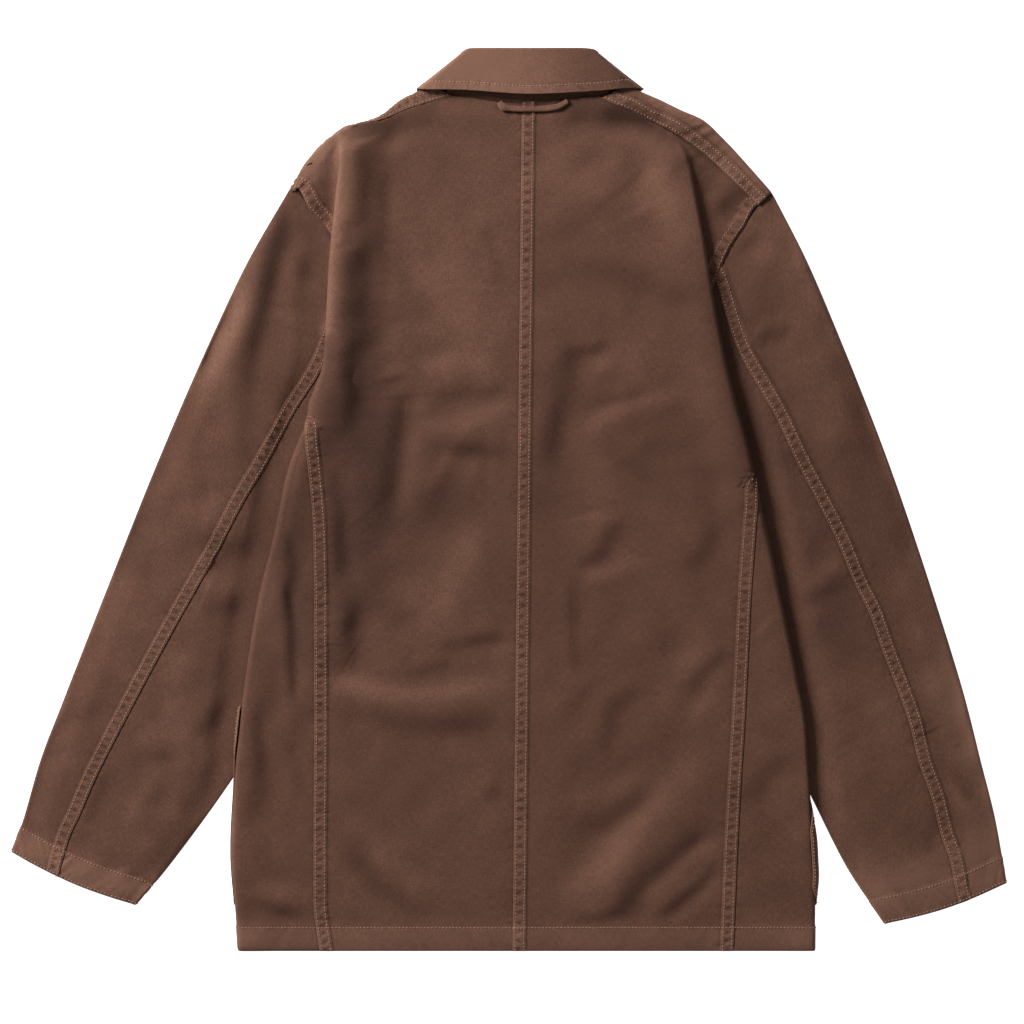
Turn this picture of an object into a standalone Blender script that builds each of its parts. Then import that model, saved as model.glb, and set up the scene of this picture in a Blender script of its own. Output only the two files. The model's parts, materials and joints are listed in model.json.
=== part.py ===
"""An unlined cotton-twill blazer lying face down on a table, its back up.

Sizes are in millimetres here and become metres when the meshes are made. +X is the viewer's right, +Y runs
from hem to collar, +Z is up, and the table is z = 0. Every piece is one layer of cloth: a grid whose rows are
sections worked out from the tables below, given its wall by Solidify.
"""

import math

import bmesh
import bpy
import numpy as np

MM = 0.001
CLOTH = 1.2  # wall of the twill
GAP = 0.3  # between two pieces at a seam

# Heights of the middle of each layer, from the table up.
Z_TABLE = 0.6  # what lies on the table
Z_SLEEVE = 2.4  # upper layer of a sleeve that lies under the body, and the back along the armhole
Z_SLEEVE_FREE = 4.6  # upper layer of a sleeve out in the open
Z_OVER = 4.2  # body layer that passes over a sleeve
Z_MIDDLE = 5.6  # the back along its middle
Z_SIDE = 7.6  # the back along its side folds
BUTTON_RISE, COLLAR_RISE, POCKET_RISE, OVERLAP_RISE = 1.9, 1.5, 1.5, 1.8

TUCK_DEPTH = 16.0  # how far in the back's hidden armhole fold goes
FRONT_LAP = 20.0  # each front goes this far past the middle
BUTTON_RADIUS, BUTTON_THICK, BUTTON_PITCH, BUTTON_TOP = 9.0, 1.5, 105.0, 170.0
POCKET_WIDTH, POCKET_TOP, POCKET_BOTTOM = 165.0, -178.0, -352.0
HANGER_RADIUS = 2.3


def table(names, *rows):
    """Columns by name, each over the rows."""
    return dict(zip(names.split(), np.array(rows, float).T))


# Each back half, one row a section. y_mid: at the centre seam. x_fold, y_fold: the side fold seen from above.
# x_edge, y_edge: the armhole. past: how far round the fold the side seam lies, + below, - on top.
# open: 0 where the cloth is flat to the armhole, 1 where it folds under. tuck: 1 where it folds back out again.
BACK_LEFT = table(
    "y_mid  x_fold  y_fold  x_edge  y_edge  past  open  tuck",
    (345.0, -144.9, 319.5, -186.6, 270.1, 0.0, 0.0, 1.0),
    (320.6, -148.3, 292.2, -172.7, 254.5, 0.0, 0.6, 1.0),
    (291.9, -150.9, 262.8, -155.3, 235.3, 0.0, 1.0, 1.0),
    (257.1, -154.4, 228.0, -142.2, 212.3, 12.2, 1.0, 1.0),
    (213.6, -157.0, 190.8, -128.3, 189.0, 28.7, 1.0, 1.0),
    (165.7, -158.8, 151.7, -102.2, 150.8, 56.6, 1.0, 1.0),
    (122.2, -161.4, 119.5, -77.0, 118.9, 84.4, 1.0, 1.0),
    (95.0, -168.5, 97.5, -60.0, 97.0, 108.5, 1.0, 0.9),
    (80.0, -173.6, 84.1, -51.8, 84.1, 119.5, 1.0, 0.0),
    (68.3, -175.7, 68.3, -175.7, 68.3, 0.0, 1.0, 0.0),
    (52.6, -182.3, 52.6, -175.3, 52.6, -7.0, 1.0, 0.0),
    (26.5, -191.8, 26.5, -172.7, 26.5, -19.1, 1.0, 0.0),
    (-30.9, -204.0, -30.9, -168.3, -30.9, -35.7, 1.0, 0.0),
    (-91.8, -218.8, -91.8, -167.5, -91.8, -51.3, 1.0, 0.0),
    (-146.6, -227.5, -146.6, -167.5, -146.6, -60.0, 1.0, 0.0),
    (-198.8, -234.0, -198.8, -167.5, -198.8, -66.5, 1.0, 0.0),
    (-253.6, -238.8, -253.6, -167.9, -253.6, -70.9, 1.0, 0.0),
    (-304.1, -241.4, -304.1, -168.3, -304.1, -73.1, 1.0, 0.0),
    (-348.4, -238.4, -348.4, -168.3, -348.4, -70.1, 1.0, 0.0),
    (-391.9, -235.3, -391.9, -168.3, -391.9, -67.0, 1.0, 0.0),
)
BACK_RIGHT = table(
    "y_mid  x_fold  y_fold  x_edge  y_edge  past  open  tuck",
    (345.0, 142.2, 319.7, 218.8, 257.1, 0.0, 0.0, 1.0),
    (320.6, 157.9, 292.2, 204.9, 239.7, 0.0, 0.6, 1.0),
    (291.9, 164.0, 262.8, 191.0, 218.8, 0.0, 1.0, 1.0),
    (257.1, 170.1, 231.0, 179.7, 193.6, 0.0, 1.0, 1.0),
    (209.2, 177.0, 187.5, 168.3, 164.0, 8.7, 1.0, 1.0),
    (157.0, 186.6, 135.3, 152.7, 127.5, 33.9, 1.0, 1.0),
    (104.8, 197.9, 87.4, 133.5, 85.7, 64.4, 1.0, 1.0),
    (61.3, 208.4, 50.4, 119.6, 50.6, 88.8, 1.0, 0.9),
    (39.0, 211.8, 34.5, 115.3, 37.0, 94.0, 1.0, 0.0),
    (17.8, 215.3, 17.8, 215.3, 17.8, 0.0, 1.0, 0.0),
    (0.4, 218.8, 0.4, 215.3, 0.4, -5.0, 1.0, 0.0),
    (-30.9, 226.2, -30.9, 213.2, -30.9, -13.0, 1.0, 0.0),
    (-91.8, 238.8, -91.8, 209.2, -91.8, -29.6, 1.0, 0.0),
    (-146.6, 250.1, -146.6, 206.6, -146.6, -43.5, 1.0, 0.0),
    (-198.8, 258.8, -198.8, 204.0, -198.8, -54.8, 1.0, 0.0),
    (-253.6, 262.0, -253.6, 200.5, -253.6, -61.5, 1.0, 0.0),
    (-304.1, 265.3, -304.1, 197.9, -304.1, -67.4, 1.0, 0.0),
    (-348.4, 267.0, -348.4, 196.2, -348.4, -70.8, 1.0, 0.0),
    (-391.9, 266.7, -391.9, 194.4, -391.9, -72.3, 1.0, 0.0),
)
# The back's top edge: neck seam, then shoulder seam.
TOP_LEFT = table(
    "x  y",
    (12.6, 345.0), (-10.9, 346.7), (-32.6, 350.2), (-54.4, 352.0), (-68.3, 347.6), (-90.0, 340.6),
    (-110.1, 331.8), (-129.2, 324.7), (-144.9, 319.5), (-163.1, 304.5), (-177.9, 286.4), (-186.6, 270.1),
)  # fmt: skip
TOP_RIGHT = table(
    "x  y",
    (12.6, 345.0), (51.8, 347.1), (76.1, 349.3), (88.3, 348.3), (97.0, 342.3), (113.5, 337.1),
    (126.6, 329.3), (142.2, 319.7), (170.1, 300.6), (188.4, 285.8), (205.8, 270.1), (218.8, 257.1),
)  # fmt: skip
# The shoulder's outline, from the neck to the top of the sleeve, with the seam that lies inside it.
SHOULDER_LEFT = table(
    "x  y  x_seam  y_seam",
    (-75.0, 352.5, -63.0, 347.0), (-94.4, 348.4, -88.0, 341.4), (-113.5, 334.5, -110.1, 331.8),
    (-144.9, 324.9, -143.0, 320.3), (-163.1, 311.0, -160.0, 307.3), (-177.9, 291.9, -174.5, 291.0),
    (-190.1, 272.7, -186.6, 270.1),
)  # fmt: skip
SHOULDER_RIGHT = table(
    "x  y  x_seam  y_seam",
    (108.0, 354.0, 93.0, 344.5), (131.8, 349.3, 108.0, 339.0), (150.1, 339.7, 124.0, 331.0),
    (168.3, 331.9, 143.4, 321.0), (189.2, 312.8, 173.0, 300.6), (210.1, 290.1, 197.0, 278.6),
    (229.4, 268.3, 218.3, 257.8),
)  # fmt: skip
# Each front above the side seam, one row a section: from the neck or the front edge to the armhole.
FRONT_LEFT = table(
    "x_in  y_in  x_edge  y_edge",
    (-61.3, 332.8, -172.2, 254.2), (-52.0, 312.0, -155.8, 234.9), (-38.0, 296.0, -142.2, 212.4),
    (-12.0, 279.0, -128.3, 189.1), (FRONT_LAP, 270.0, -102.2, 150.9), (FRONT_LAP, 190.0, -77.0, 119.0),
    (FRONT_LAP, 110.0, -60.0, 97.1),
)  # fmt: skip
FRONT_RIGHT = table(
    "x_in  y_in  x_edge  y_edge",
    (80.0, 334.0, 205.1, 239.4), (66.0, 312.0, 191.0, 218.8), (50.0, 296.0, 179.7, 193.5),
    (22.0, 279.0, 168.3, 163.9), (-FRONT_LAP, 270.0, 152.7, 127.4), (-FRONT_LAP, 180.0, 133.5, 85.5),
    (-FRONT_LAP, 80.0, 119.6, 51.0),
)  # fmt: skip
# Each sleeve's two sides, from the armhole to the cuff.
OUTER_LEFT = table(
    "x  y",
    (-190.1, 272.7), (-226.6, 209.2), (-259.7, 139.6), (-304.9, 35.2), (-346.7, -69.2), (-387.6, -173.6),
    (-407.6, -225.8), (-423.3, -279.7), (-432.8, -305.8),
)  # fmt: skip
OUTER_RIGHT = table(
    "x  y",
    (230.1, 267.5), (259.7, 209.2), (289.3, 139.6), (330.2, 35.2), (365.8, -69.2), (398.0, -173.6),
    (411.1, -225.8), (424.1, -278.0), (433.7, -332.8),
)  # fmt: skip
INNER_LEFT = table("x  y", (-55.6, 80.2), (-146.6, -81.3), (-239.7, -241.4), (-306.7, -331.9), (-324.9, -351.9))
INNER_RIGHT = table("x  y", (120.2, 33.6), (188.4, -110.9), (261.4, -253.6), (296.2, -322.3), (327.6, -368.4))
ARMHOLE_LEFT = table(
    "x  y",
    (-190.1, 272.7), (-172.7, 253.5), (-156.3, 234.3), (-142.7, 211.8), (-128.8, 188.5), (-102.7, 150.3),
    (-78.0, 118.0), (-62.6, 94.7), (-55.6, 80.2),
)  # fmt: skip
ARMHOLE_RIGHT = table(
    "x  y",
    (230.1, 267.5), (205.6, 238.9), (191.5, 218.3), (180.2, 193.1), (168.8, 163.5), (153.2, 127.0),
    (134.6, 84.8), (122.9, 49.0), (120.2, 33.6),
)  # fmt: skip
# Where the layers below lift the back: x at which the lift is full, inward of the sleeve and the tuck.
LIFT_LEFT = table(
    "y  x",
    (331.0, -150.0), (296.2, -132.0), (265.8, -132.0), (231.0, -122.0), (191.8, -106.0), (152.7, -82.0),
    (120.5, -60.0), (83.1, -42.5), (0.4, -84.0), (-81.3, -134.0), (-173.6, -188.0), (-241.4, -228.0),
    (-312.8, -275.0), (-391.9, -328.0),
)  # fmt: skip
LIFT_RIGHT = table(
    "y  x",
    (331.0, 152.0), (296.2, 141.0), (265.8, 145.0), (231.0, 152.0), (187.5, 149.0), (135.3, 133.0),
    (87.4, 112.0), (37.0, 92.0), (-43.1, 138.0), (-110.9, 176.0), (-182.3, 212.0), (-253.6, 249.0),
    (-322.3, 294.0), (-391.9, 338.0),
)  # fmt: skip
# The collar from its left front end round the back of the neck to its right front end: the neck seam, the
# roll line and the outer edge, and the height of the stand and of the fall.
COLLAR = table(
    "x_seam  y_seam  x_roll  y_roll  x_fall  y_fall  z_seam  z_stand  z_fall",
    (-24.0, 291.0, -18.0, 304.0, -40.0, 258.0, 2.1, 2.1, 0.6),
    (-38.0, 301.0, -30.0, 318.0, -60.0, 272.0, 2.1, 2.1, 0.6),
    (-51.0, 318.0, -37.0, 342.0, -77.0, 297.0, 2.1, 2.1, 0.6),
    (-57.0, 338.0, -39.5, 372.0, -81.0, 334.0, 2.2, 2.2, 0.6),
    (-57.5, 346.0, -40.5, 382.0, -80.0, 349.0, 2.2, 2.2, 0.6),
    (-56.0, 352.0, -41.5, 388.5, -79.5, 358.4, 3.8, 3.9, 4.6),
    (-51.0, 356.0, -33.0, 393.4, -74.0, 357.0, 5.4, 5.5, 8.8),
    (-32.0, 351.5, -18.0, 393.7, -40.0, 356.3, 5.6, 5.6, 8.8),
    (13.0, 346.0, 16.0, 393.7, 20.0, 352.6, 5.6, 5.6, 8.8),
    (76.0, 350.5, 58.0, 393.7, 80.0, 355.7, 5.6, 5.6, 8.8),
    (86.0, 355.0, 72.0, 393.0, 104.0, 358.0, 5.4, 5.5, 8.8),
    (88.5, 351.0, 78.5, 389.0, 115.5, 358.6, 3.8, 3.9, 4.6),
    (84.0, 345.0, 78.3, 382.0, 112.5, 353.6, 2.2, 2.2, 0.6),
    (78.0, 336.0, 77.0, 372.0, 110.0, 334.0, 2.2, 2.2, 0.6),
    (64.3, 314.0, 64.0, 342.0, 98.0, 297.0, 2.1, 2.1, 0.6),
    (48.5, 298.2, 46.0, 318.0, 76.0, 272.0, 2.1, 2.1, 0.6),
    (38.0, 291.5, 36.0, 304.0, 54.0, 258.0, 2.1, 2.1, 0.6),
)
HANGER = table(
    "x  y", (-7.5, 341.6), (-3.0, 337.5), (6.0, 335.6), (16.0, 334.6), (28.0, 335.0), (40.0, 337.2), (50.5, 341.6)
)

LEFT = dict(
    inward=1, back=BACK_LEFT, top=TOP_LEFT, shoulder=SHOULDER_LEFT, front=FRONT_LEFT, outer=OUTER_LEFT,
    inner=INNER_LEFT, armhole=ARMHOLE_LEFT, lift=LIFT_LEFT, under_row=8, seam_cuff=0.40,
)  # fmt: skip
RIGHT = dict(
    inward=-1, back=BACK_RIGHT, top=TOP_RIGHT, shoulder=SHOULDER_RIGHT, front=FRONT_RIGHT, outer=OUTER_RIGHT,
    inner=INNER_RIGHT, armhole=ARMHOLE_RIGHT, lift=LIFT_RIGHT, under_row=8, seam_cuff=0.40,
)  # fmt: skip


def smooth(x):
    """0 below 0, 1 above 1, and no corner between."""
    x = min(max(x, 0.0), 1.0)
    return x * x * (3 - 2 * x)


def mix(a, b, t):
    return a + (b - a) * t


def between(t, key, x, value):
    """Column value where column key is x, with straight lines between rows."""
    order = np.argsort(t[key])
    return float(np.interp(x, t[key][order], t[value][order]))


def at_row(t, v):
    """Every column at row v, which may lie between two rows."""
    n = np.arange(len(next(iter(t.values()))))
    return {key: float(np.interp(v, n, column)) for key, column in t.items()}


def along(t, u, x="x", y="y"):
    """The point at the fraction u of the length of a line given by two columns."""
    steps = np.hypot(np.diff(t[x]), np.diff(t[y]))
    length = np.concatenate([[0.0], np.cumsum(steps)])
    return float(np.interp(u * length[-1], length, t[x])), float(np.interp(u * length[-1], length, t[y]))


def middle_seam(y):
    """x of the centre back seam."""
    return mix(13.0, 5.0, (335.0 - y) / 727.0)


# --- how high each layer lies -------------------------------------------------------------------------------


def lift(side, x, y):
    """1 where a sleeve or the armhole tuck lies below the back, 0 in the middle."""
    edge = between(side["lift"], "y", y, "x")
    return smooth(1 + side["inward"] * (edge - x) / 34.0)


def pocket_lift(side, x, y):
    fold = fold_x(side, y)
    across = side["inward"] * (x - fold)
    low = smooth((y - POCKET_BOTTOM + 66) / 25) * smooth((POCKET_TOP + 57 - y) / 25)
    return low * smooth((POCKET_WIDTH + 52 - across) / 30)


def fold_x(side, y):
    return between(side["back"], "y_fold", y, "x_fold")


def z_back(side, x, y):
    """The back's upper layer."""
    up = mix(Z_MIDDLE, Z_SIDE, lift(side, x, y)) + POCKET_RISE * pocket_lift(side, x, y) * 0.8
    shoulder = smooth((abs(x) - 125) / 95) * smooth((y - 215) / 60)
    return mix(up, Z_SLEEVE + 0.2, shoulder * 0.8)


def z_front(side, x, y, over):
    """The front where it faces the table. over: 1 where it has a sleeve below it, by the row's place."""
    across = x if side["inward"] < 0 else -x
    ridge = BUTTON_RISE * smooth((44 - abs(x)) / 30) * smooth((305 - y) / 30)
    neck = COLLAR_RISE * neck_zone(x, y)
    z = Z_TABLE + max(ridge, neck)
    if side["inward"] < 0:  # the right front lies on the left one where they lap
        z += OVERLAP_RISE * smooth((80 - across) / 30)
    z += POCKET_RISE * pocket_lift(side, x, y)
    return z + (Z_OVER - Z_TABLE) * lift(side, x + side["inward"] * 6, y) * over


def neck_zone(x, y):
    """1 where the collar's front half lies below the fronts."""
    return smooth((y - 214) / 30) * smooth((124 - abs(x - 17)) / 22)


# --- sections -----------------------------------------------------------------------------------------------


def turn(x, z_high, z_low, outward, n):
    """n points of a half turn from the upper layer to the lower one, after the first."""
    r, mid = (z_high - z_low) / 2, (z_high + z_low) / 2
    angles = [math.pi * (0.5 - k / n) for k in range(1, n + 1)]
    return [(x + outward * abs(r) * math.cos(a), mid + r * math.sin(a)) for a in angles]


def back_section(side, v, n=(8, 3, 3, 3, 2)):
    """One row of a back half: over the top to the side fold, under, and back out to the armhole."""
    run, bend, under, bend2, out = n
    t, inw = at_row(side["back"], v), side["inward"]
    y0, y1, y2 = t["y_mid"], t["y_fold"], t["y_edge"]
    near = t["x_fold"] + inw * 4
    z_hi, z_lo = z_back(side, near, y1), z_front(side, near, y1, 1)
    r = (z_hi - z_lo) / 2
    centre = t["x_fold"] + inw * (r + CLOTH / 2)
    quarter = math.pi * r / 2
    first = at_row(side["back"], 0)

    def top_run(end):
        """From the centre seam to x = end, following the shoulder line in the first rows."""
        start = middle_seam(y0) - inw * GAP / 2
        weight = max(0.0, 1 - v / 5) ** 2
        points = []
        for k in range(run + 1):
            s = k / run
            x = mix(start, end, s)
            base0 = mix(first["y_mid"], first["y_fold"], s)
            shape = between(side["top"], "x", mix(start, first["x_fold"], s), "y") - base0
            y = mix(y0, y1, s) + weight * shape - (1.0 if v == 0 else 0)
            points.append((x, y, z_back(side, x, y)))
        return points

    # Folded under and out again to the armhole.
    z2 = (Z_OVER - Z_SLEEVE) / 2
    deepest = (t["x_edge"] if inw * (t["x_edge"] - t["x_fold"]) > 0 else t["x_fold"]) + inw * TUCK_DEPTH
    centre2 = deepest - inw * (z2 + CLOTH / 2)
    edge = t["x_edge"] + inw * GAP / 2
    tail = turn(centre, z_hi, Z_OVER, -inw, bend)
    tail += [(mix(centre, centre2, k / under), Z_OVER) for k in range(1, under + 1)]
    tail += turn(centre2, Z_OVER, Z_SLEEVE, inw, bend2)
    tail += [(mix(centre2, edge, k / out), Z_SLEEVE) for k in range(1, out + 1)]
    count = len(tail)
    folded = [(x, mix(y1, y2, (k + 1) / count), z) for k, (x, z) in enumerate(tail)]
    head = top_run(centre)

    # Flat to the armhole.
    flat = []
    for k in range(1, count + 1):
        s = k / count
        x = mix(centre, edge, s)
        y = mix(y1, y2, s)
        if v == 0:
            y = between(side["top"], "x", x, "y") - 1.2
        flat.append((x, y, mix(z_hi, Z_SLEEVE + 0.2, smooth(s))))

    # Round the fold to the side seam.
    end = t["past"] - GAP / 2 - (5 if v == side["under_row"] else 0)
    first_s = min(-quarter, end - 12)
    even = [mix(first_s, end, k / count) for k in range(1, count + 1)]
    fitted = [mix(-quarter, quarter, k / bend) for k in range(1, bend + 1)]
    fitted += [mix(quarter, end - 3, k / under) for k in range(1, under + 1)]
    fitted += [mix(end - 3, end, k / (bend2 + out)) for k in range(1, bend2 + out + 1)]
    weight = smooth((end - quarter - 4) / 10)
    start_s = mix(first_s, -quarter, weight)
    round_fold = []
    for k in range(count):
        s = mix(even[k], fitted[k], weight)
        if s <= -quarter:
            x = centre + inw * (-quarter - s)
            z = z_back(side, x, y1)
        elif s < quarter:
            angle = math.pi / 2 * (-s / quarter)
            x, z = centre - inw * r * math.cos(angle), (z_hi + z_lo) / 2 + r * math.sin(angle)
        else:
            x, z = centre + inw * (s - quarter), z_lo
        apart = (3.4 if t["past"] == 0 else 2.4) * GAP if t["past"] >= 0 else 0
        round_fold.append((x, mix(y1, y2 + apart, (k + 1) / count), z))
    head_round = top_run(centre + inw * (-quarter - start_s))

    def blend(a, b, w):
        return [tuple(mix(p, q, w) for p, q in zip(one, two)) for one, two in zip(a, b)]

    body = blend(head_round + round_fold, head + folded, t["tuck"])
    return blend(head + flat, body, t["open"])


def front_section(side, v, n=(7, 3, 3)):
    """One row of a front below the underarm: from the front edge, over the sleeve and round the side fold."""
    run, bend, wrap = n
    t, inw = at_row(side["back"], v), side["inward"]
    y1 = t["y_fold"]
    z_hi, z_lo = z_back(side, t["x_fold"] + inw * 4, y1), z_front(side, t["x_fold"] + inw * 4, y1, 1)
    r = (z_hi - z_lo) / 2
    centre = t["x_fold"] + inw * (r + CLOTH / 2)
    quarter = math.pi * r / 2
    apart = (3.4 if t["past"] == 0 else 2.4) * GAP if t["past"] >= 0 else 0
    end = t["past"] + GAP / 2 + (5 if v == side["under_row"] else 0)
    first_s = max(quarter, end + 10)
    count = bend + wrap
    even = [mix(first_s, end, k / count) for k in range(1, count + 1)]
    fitted = [mix(quarter, -quarter, k / bend) for k in range(1, bend + 1)]
    fitted += [mix(-quarter, end, k / wrap) for k in range(1, wrap + 1)]
    weight = smooth((-quarter - end - 1) / 6)
    start_s = mix(first_s, quarter, weight)
    x_in = inw * FRONT_LAP
    x_out = centre + inw * (start_s - quarter)
    points = []
    for k in range(run + 1):
        x = mix(x_in, x_out, k / run)
        points.append((x, y1, z_front(side, x, y1, 1)))
    for k in range(count):
        s = mix(even[k], fitted[k], weight)
        if s >= quarter:
            x = centre + inw * (s - quarter)
            z = z_front(side, x, y1, 1)
        elif s > -quarter:
            angle = math.pi / 2 * (-s / quarter)
            x, z = centre - inw * r * math.cos(angle), (z_hi + z_lo) / 2 + r * math.sin(angle)
        else:
            x = centre + inw * (-quarter - s)
            z = z_back(side, x, y1)
        points.append((x, y1 - apart * (k + 1) / count, z))
    return points


def front_upper_section(side, v, n=(7, 3, 3)):
    """One row of a front above the underarm: on the table, from the neck or the front edge to the armhole."""
    run, count = n[0], n[1] + n[2]
    t, inw = at_row(side["front"], v), side["inward"]
    edge_x, edge_y = t["x_edge"] + inw * GAP / 2, t["y_edge"]
    length = math.hypot(edge_x - t["x_in"], edge_y - t["y_in"])
    fractions = [mix(0, 1 - 10 / length, k / run) for k in range(run + 1)]
    fractions += [mix(1 - 10 / length, 1, k / count) for k in range(1, count + 1)]
    points = []
    for s in fractions:
        x, y = mix(t["x_in"], edge_x, s), mix(t["y_in"], edge_y, s)
        points.append((x, y, z_front(side, x, y, 0)))
    return points


def shoulder_sections(side, n=(7, 3, 3), bend=3):
    """The front's rows over the shoulder: seam on top, half turn at the outline, and the table side."""
    inw = side["inward"]
    count = sum(n)
    rows = [[] for _ in range(bend + 2)]
    for k in range(count + 1):
        u = k / count if k <= n[0] else mix(n[0] / count, 1, (k - n[0]) / (count - n[0]))
        x, y = along(side["shoulder"], u)
        steps = np.hypot(np.diff(side["shoulder"]["x"]), np.diff(side["shoulder"]["y"]))
        length = np.concatenate([[0.0], np.cumsum(steps)]) / steps.sum()
        xs = float(np.interp(u, length, side["shoulder"]["x_seam"]))
        ys = float(np.interp(u, length, side["shoulder"]["y_seam"]))
        ahead, behind = along(side["shoulder"], min(u + 0.03, 1)), along(side["shoulder"], max(u - 0.03, 0))
        dx, dy = ahead[0] - behind[0], ahead[1] - behind[1]
        size = math.hypot(dx, dy)
        nx, ny = (inw * dy / size, -inw * dx / size)  # into the body
        if nx * (xs - x) + ny * (ys - y) < 0:
            nx, ny = -nx, -ny
        z_hi = z_back(side, xs, ys)
        z_lo = z_front(side, x + nx * 6, y + ny * 6, 0)
        r = (z_hi - z_lo) / 2
        cx, cy = x + nx * (r + CLOTH / 2), y + ny * (r + CLOTH / 2)
        depth = max(nx * (xs - cx) + ny * (ys - cy), 0.6)
        rows[0].append((cx + nx * depth, cy + ny * depth, z_hi))
        rows[1].append((cx, cy, z_hi))
        for j, (across, z) in enumerate(turn(0, z_hi, z_lo, -1, bend)):
            rows[2 + j].append((cx + nx * across, cy + ny * across, z))
    return rows


def sleeve_point(side, u, v, layer):
    """A point of the sleeve: u from its outer side to its inner side, v from armhole to cuff."""
    ox, oy = along(side["outer"], v)
    ix, iy = along(side["inner"], v)
    x, y = mix(ox, ix, u), mix(oy, iy, u)
    near = max(0.0, 1 - v / 0.3) ** 2
    sx, sy = along(side["armhole"], 0)
    ux, uy = along(side["armhole"], 1)
    ax, ay = along(side["armhole"], u)
    x += near * (ax - mix(sx, ux, u))
    y += near * (ay - mix(sy, uy, u))
    if layer == "bottom":
        return x, y, Z_TABLE
    clear = -side["inward"] * (x - fold_x(side, y)) - 14
    free = smooth(clear / 34) * smooth(v / 0.12) * (0.5 + 0.5 * smooth(v / 0.3))
    return x, y, mix(Z_SLEEVE, Z_SLEEVE_FREE, free)


def sleeve_columns(side):
    """Fractions across a sleeve at the points of the armhole, so that the seams meet corner to corner."""
    steps = np.hypot(np.diff(side["armhole"]["x"]), np.diff(side["armhole"]["y"]))
    return np.concatenate([[0.0], np.cumsum(steps)]) / steps.sum()


def sleeve_section(side, v, seam_gap, part, bend=3):
    """One row of a top sleeve (part 'top') or of an under sleeve (part 'under')."""
    columns = sleeve_columns(side)
    seam0, front_seam = columns[3], columns[6]
    seam = mix(seam0, side["seam_cuff"], smooth(v / 0.4))
    ox, oy = along(side["outer"], v)
    ix, iy = along(side["inner"], v)
    width = math.hypot(ix - ox, iy - oy)
    ex, ey = (ix - ox) / width, (iy - oy) / width
    if part == "top":
        edge_u, away = 0.0, -1
        upper = [u * seam / seam0 for u in columns[3:0:-1]]
        lower = list(columns[1:7])
    else:
        edge_u, away = 1.0, 1
        upper = [1 - (1 - u) * (1 - seam) / (1 - seam0) for u in columns[3:-1]]
        lower = list(columns[-2:5:-1])
    upper[0] += away * seam_gap / width
    lower[-1] += away * seam_gap / width
    # The turn at the sleeve's side.
    probe = sleeve_point(side, edge_u - away * 8 / width, v, "top")
    r = (probe[2] - Z_TABLE) / 2
    centre_u = edge_u - away * (r + CLOTH / 2) / width
    cx, cy, _ = sleeve_point(side, centre_u, v, "top")
    points = [sleeve_point(side, u, v, "top") for u in upper] + [(cx, cy, probe[2])]
    for across, z in turn(0, probe[2], Z_TABLE, 1, bend):
        points.append((cx + away * ex * across, cy + away * ey * across, z))
    return points + [sleeve_point(side, u, v, "bottom") for u in lower]


def collar_section(t, n=(2, 3, 3)):
    stand, bend, fall = n
    r = (t["z_fall"] - t["z_stand"]) / 2
    dx, dy = t["x_seam"] - t["x_roll"], t["y_seam"] - t["y_roll"]
    size = math.hypot(dx, dy)
    ex, ey = dx / size, dy / size
    back = abs(r) + CLOTH / 2
    cx, cy = t["x_roll"] + ex * back, t["y_roll"] + ey * back
    points = []
    for k in range(stand + 1):
        s = k / stand
        points.append((mix(t["x_seam"], cx, s), mix(t["y_seam"], cy, s), mix(t["z_seam"], t["z_stand"], s)))
    for across, z in turn(0, t["z_stand"], t["z_fall"], 1, bend):
        points.append((cx - ex * across, cy - ey * across, z))
    for k in range(1, fall + 1):
        s = k / fall
        points.append((mix(cx, t["x_fall"], s), mix(cy, t["y_fall"], s), t["z_fall"]))
    return points


def pocket_rows(side, front_rows, run=7):
    """The patch pocket: the front's own points, moved towards the table by its wall and the gap."""
    inw = side["inward"]
    levels = np.array([row[0][1] for row in front_rows])
    inside = [y for y in levels if POCKET_BOTTOM < y < POCKET_TOP]
    rows = []
    for y in [POCKET_TOP] + inside + [POCKET_BOTTOM]:
        after = next(k for k, level in enumerate(levels) if level <= y and k > 5)
        above, below = front_rows[after - 1], front_rows[after]
        part = (above[0][1] - y) / (above[0][1] - below[0][1])
        front = [tuple(mix(p, q, part) for p, q in zip(a, b)) for a, b in zip(above, below)][: run + 1]
        fold = fold_x(side, y)
        start, end = fold + inw * POCKET_WIDTH, fold - inw * 1.0
        xs = [start] + [p[0] for p in front[-4:]] + [end]
        order = np.argsort([p[0] for p in front])
        x_known, z_known = np.array([front[k][0] for k in order]), np.array([front[k][2] for k in order])
        rows.append([(x, y, float(np.interp(x, x_known, z_known)) - CLOTH - GAP) for x in xs])
    return rows


# --- objects ------------------------------------------------------------------------------------------------


def material(name, colour, roughness):
    made = bpy.data.materials.new(name)
    made.use_nodes = True
    shader = made.node_tree.nodes["Principled BSDF"]
    shader.inputs["Base Color"].default_value = (*colour, 1)
    shader.inputs["Roughness"].default_value = roughness
    shader.inputs["Metallic"].default_value = 0
    return made


def cloth(name, rows, finish):
    """A grid with a vertex at each section point, made a wall by Solidify."""
    across, down = len(rows[0]) - 1, len(rows) - 1
    grid = bmesh.new()
    bmesh.ops.create_grid(grid, x_segments=across, y_segments=down, size=1)
    grid.verts.ensure_lookup_table()
    for j, row in enumerate(rows):
        for i, point in enumerate(row):
            grid.verts[j * (across + 1) + i].co = [c * MM for c in point]
    mesh = bpy.data.meshes.new(name)
    grid.to_mesh(mesh)
    grid.free()
    mesh.shade_smooth()
    mesh.materials.append(finish)
    made = bpy.data.objects.new(name, mesh)
    wall = made.modifiers.new("Wall", "SOLIDIFY")
    wall.thickness = CLOTH * MM
    wall.offset = 0
    collection.objects.link(made)
    return made


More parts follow.
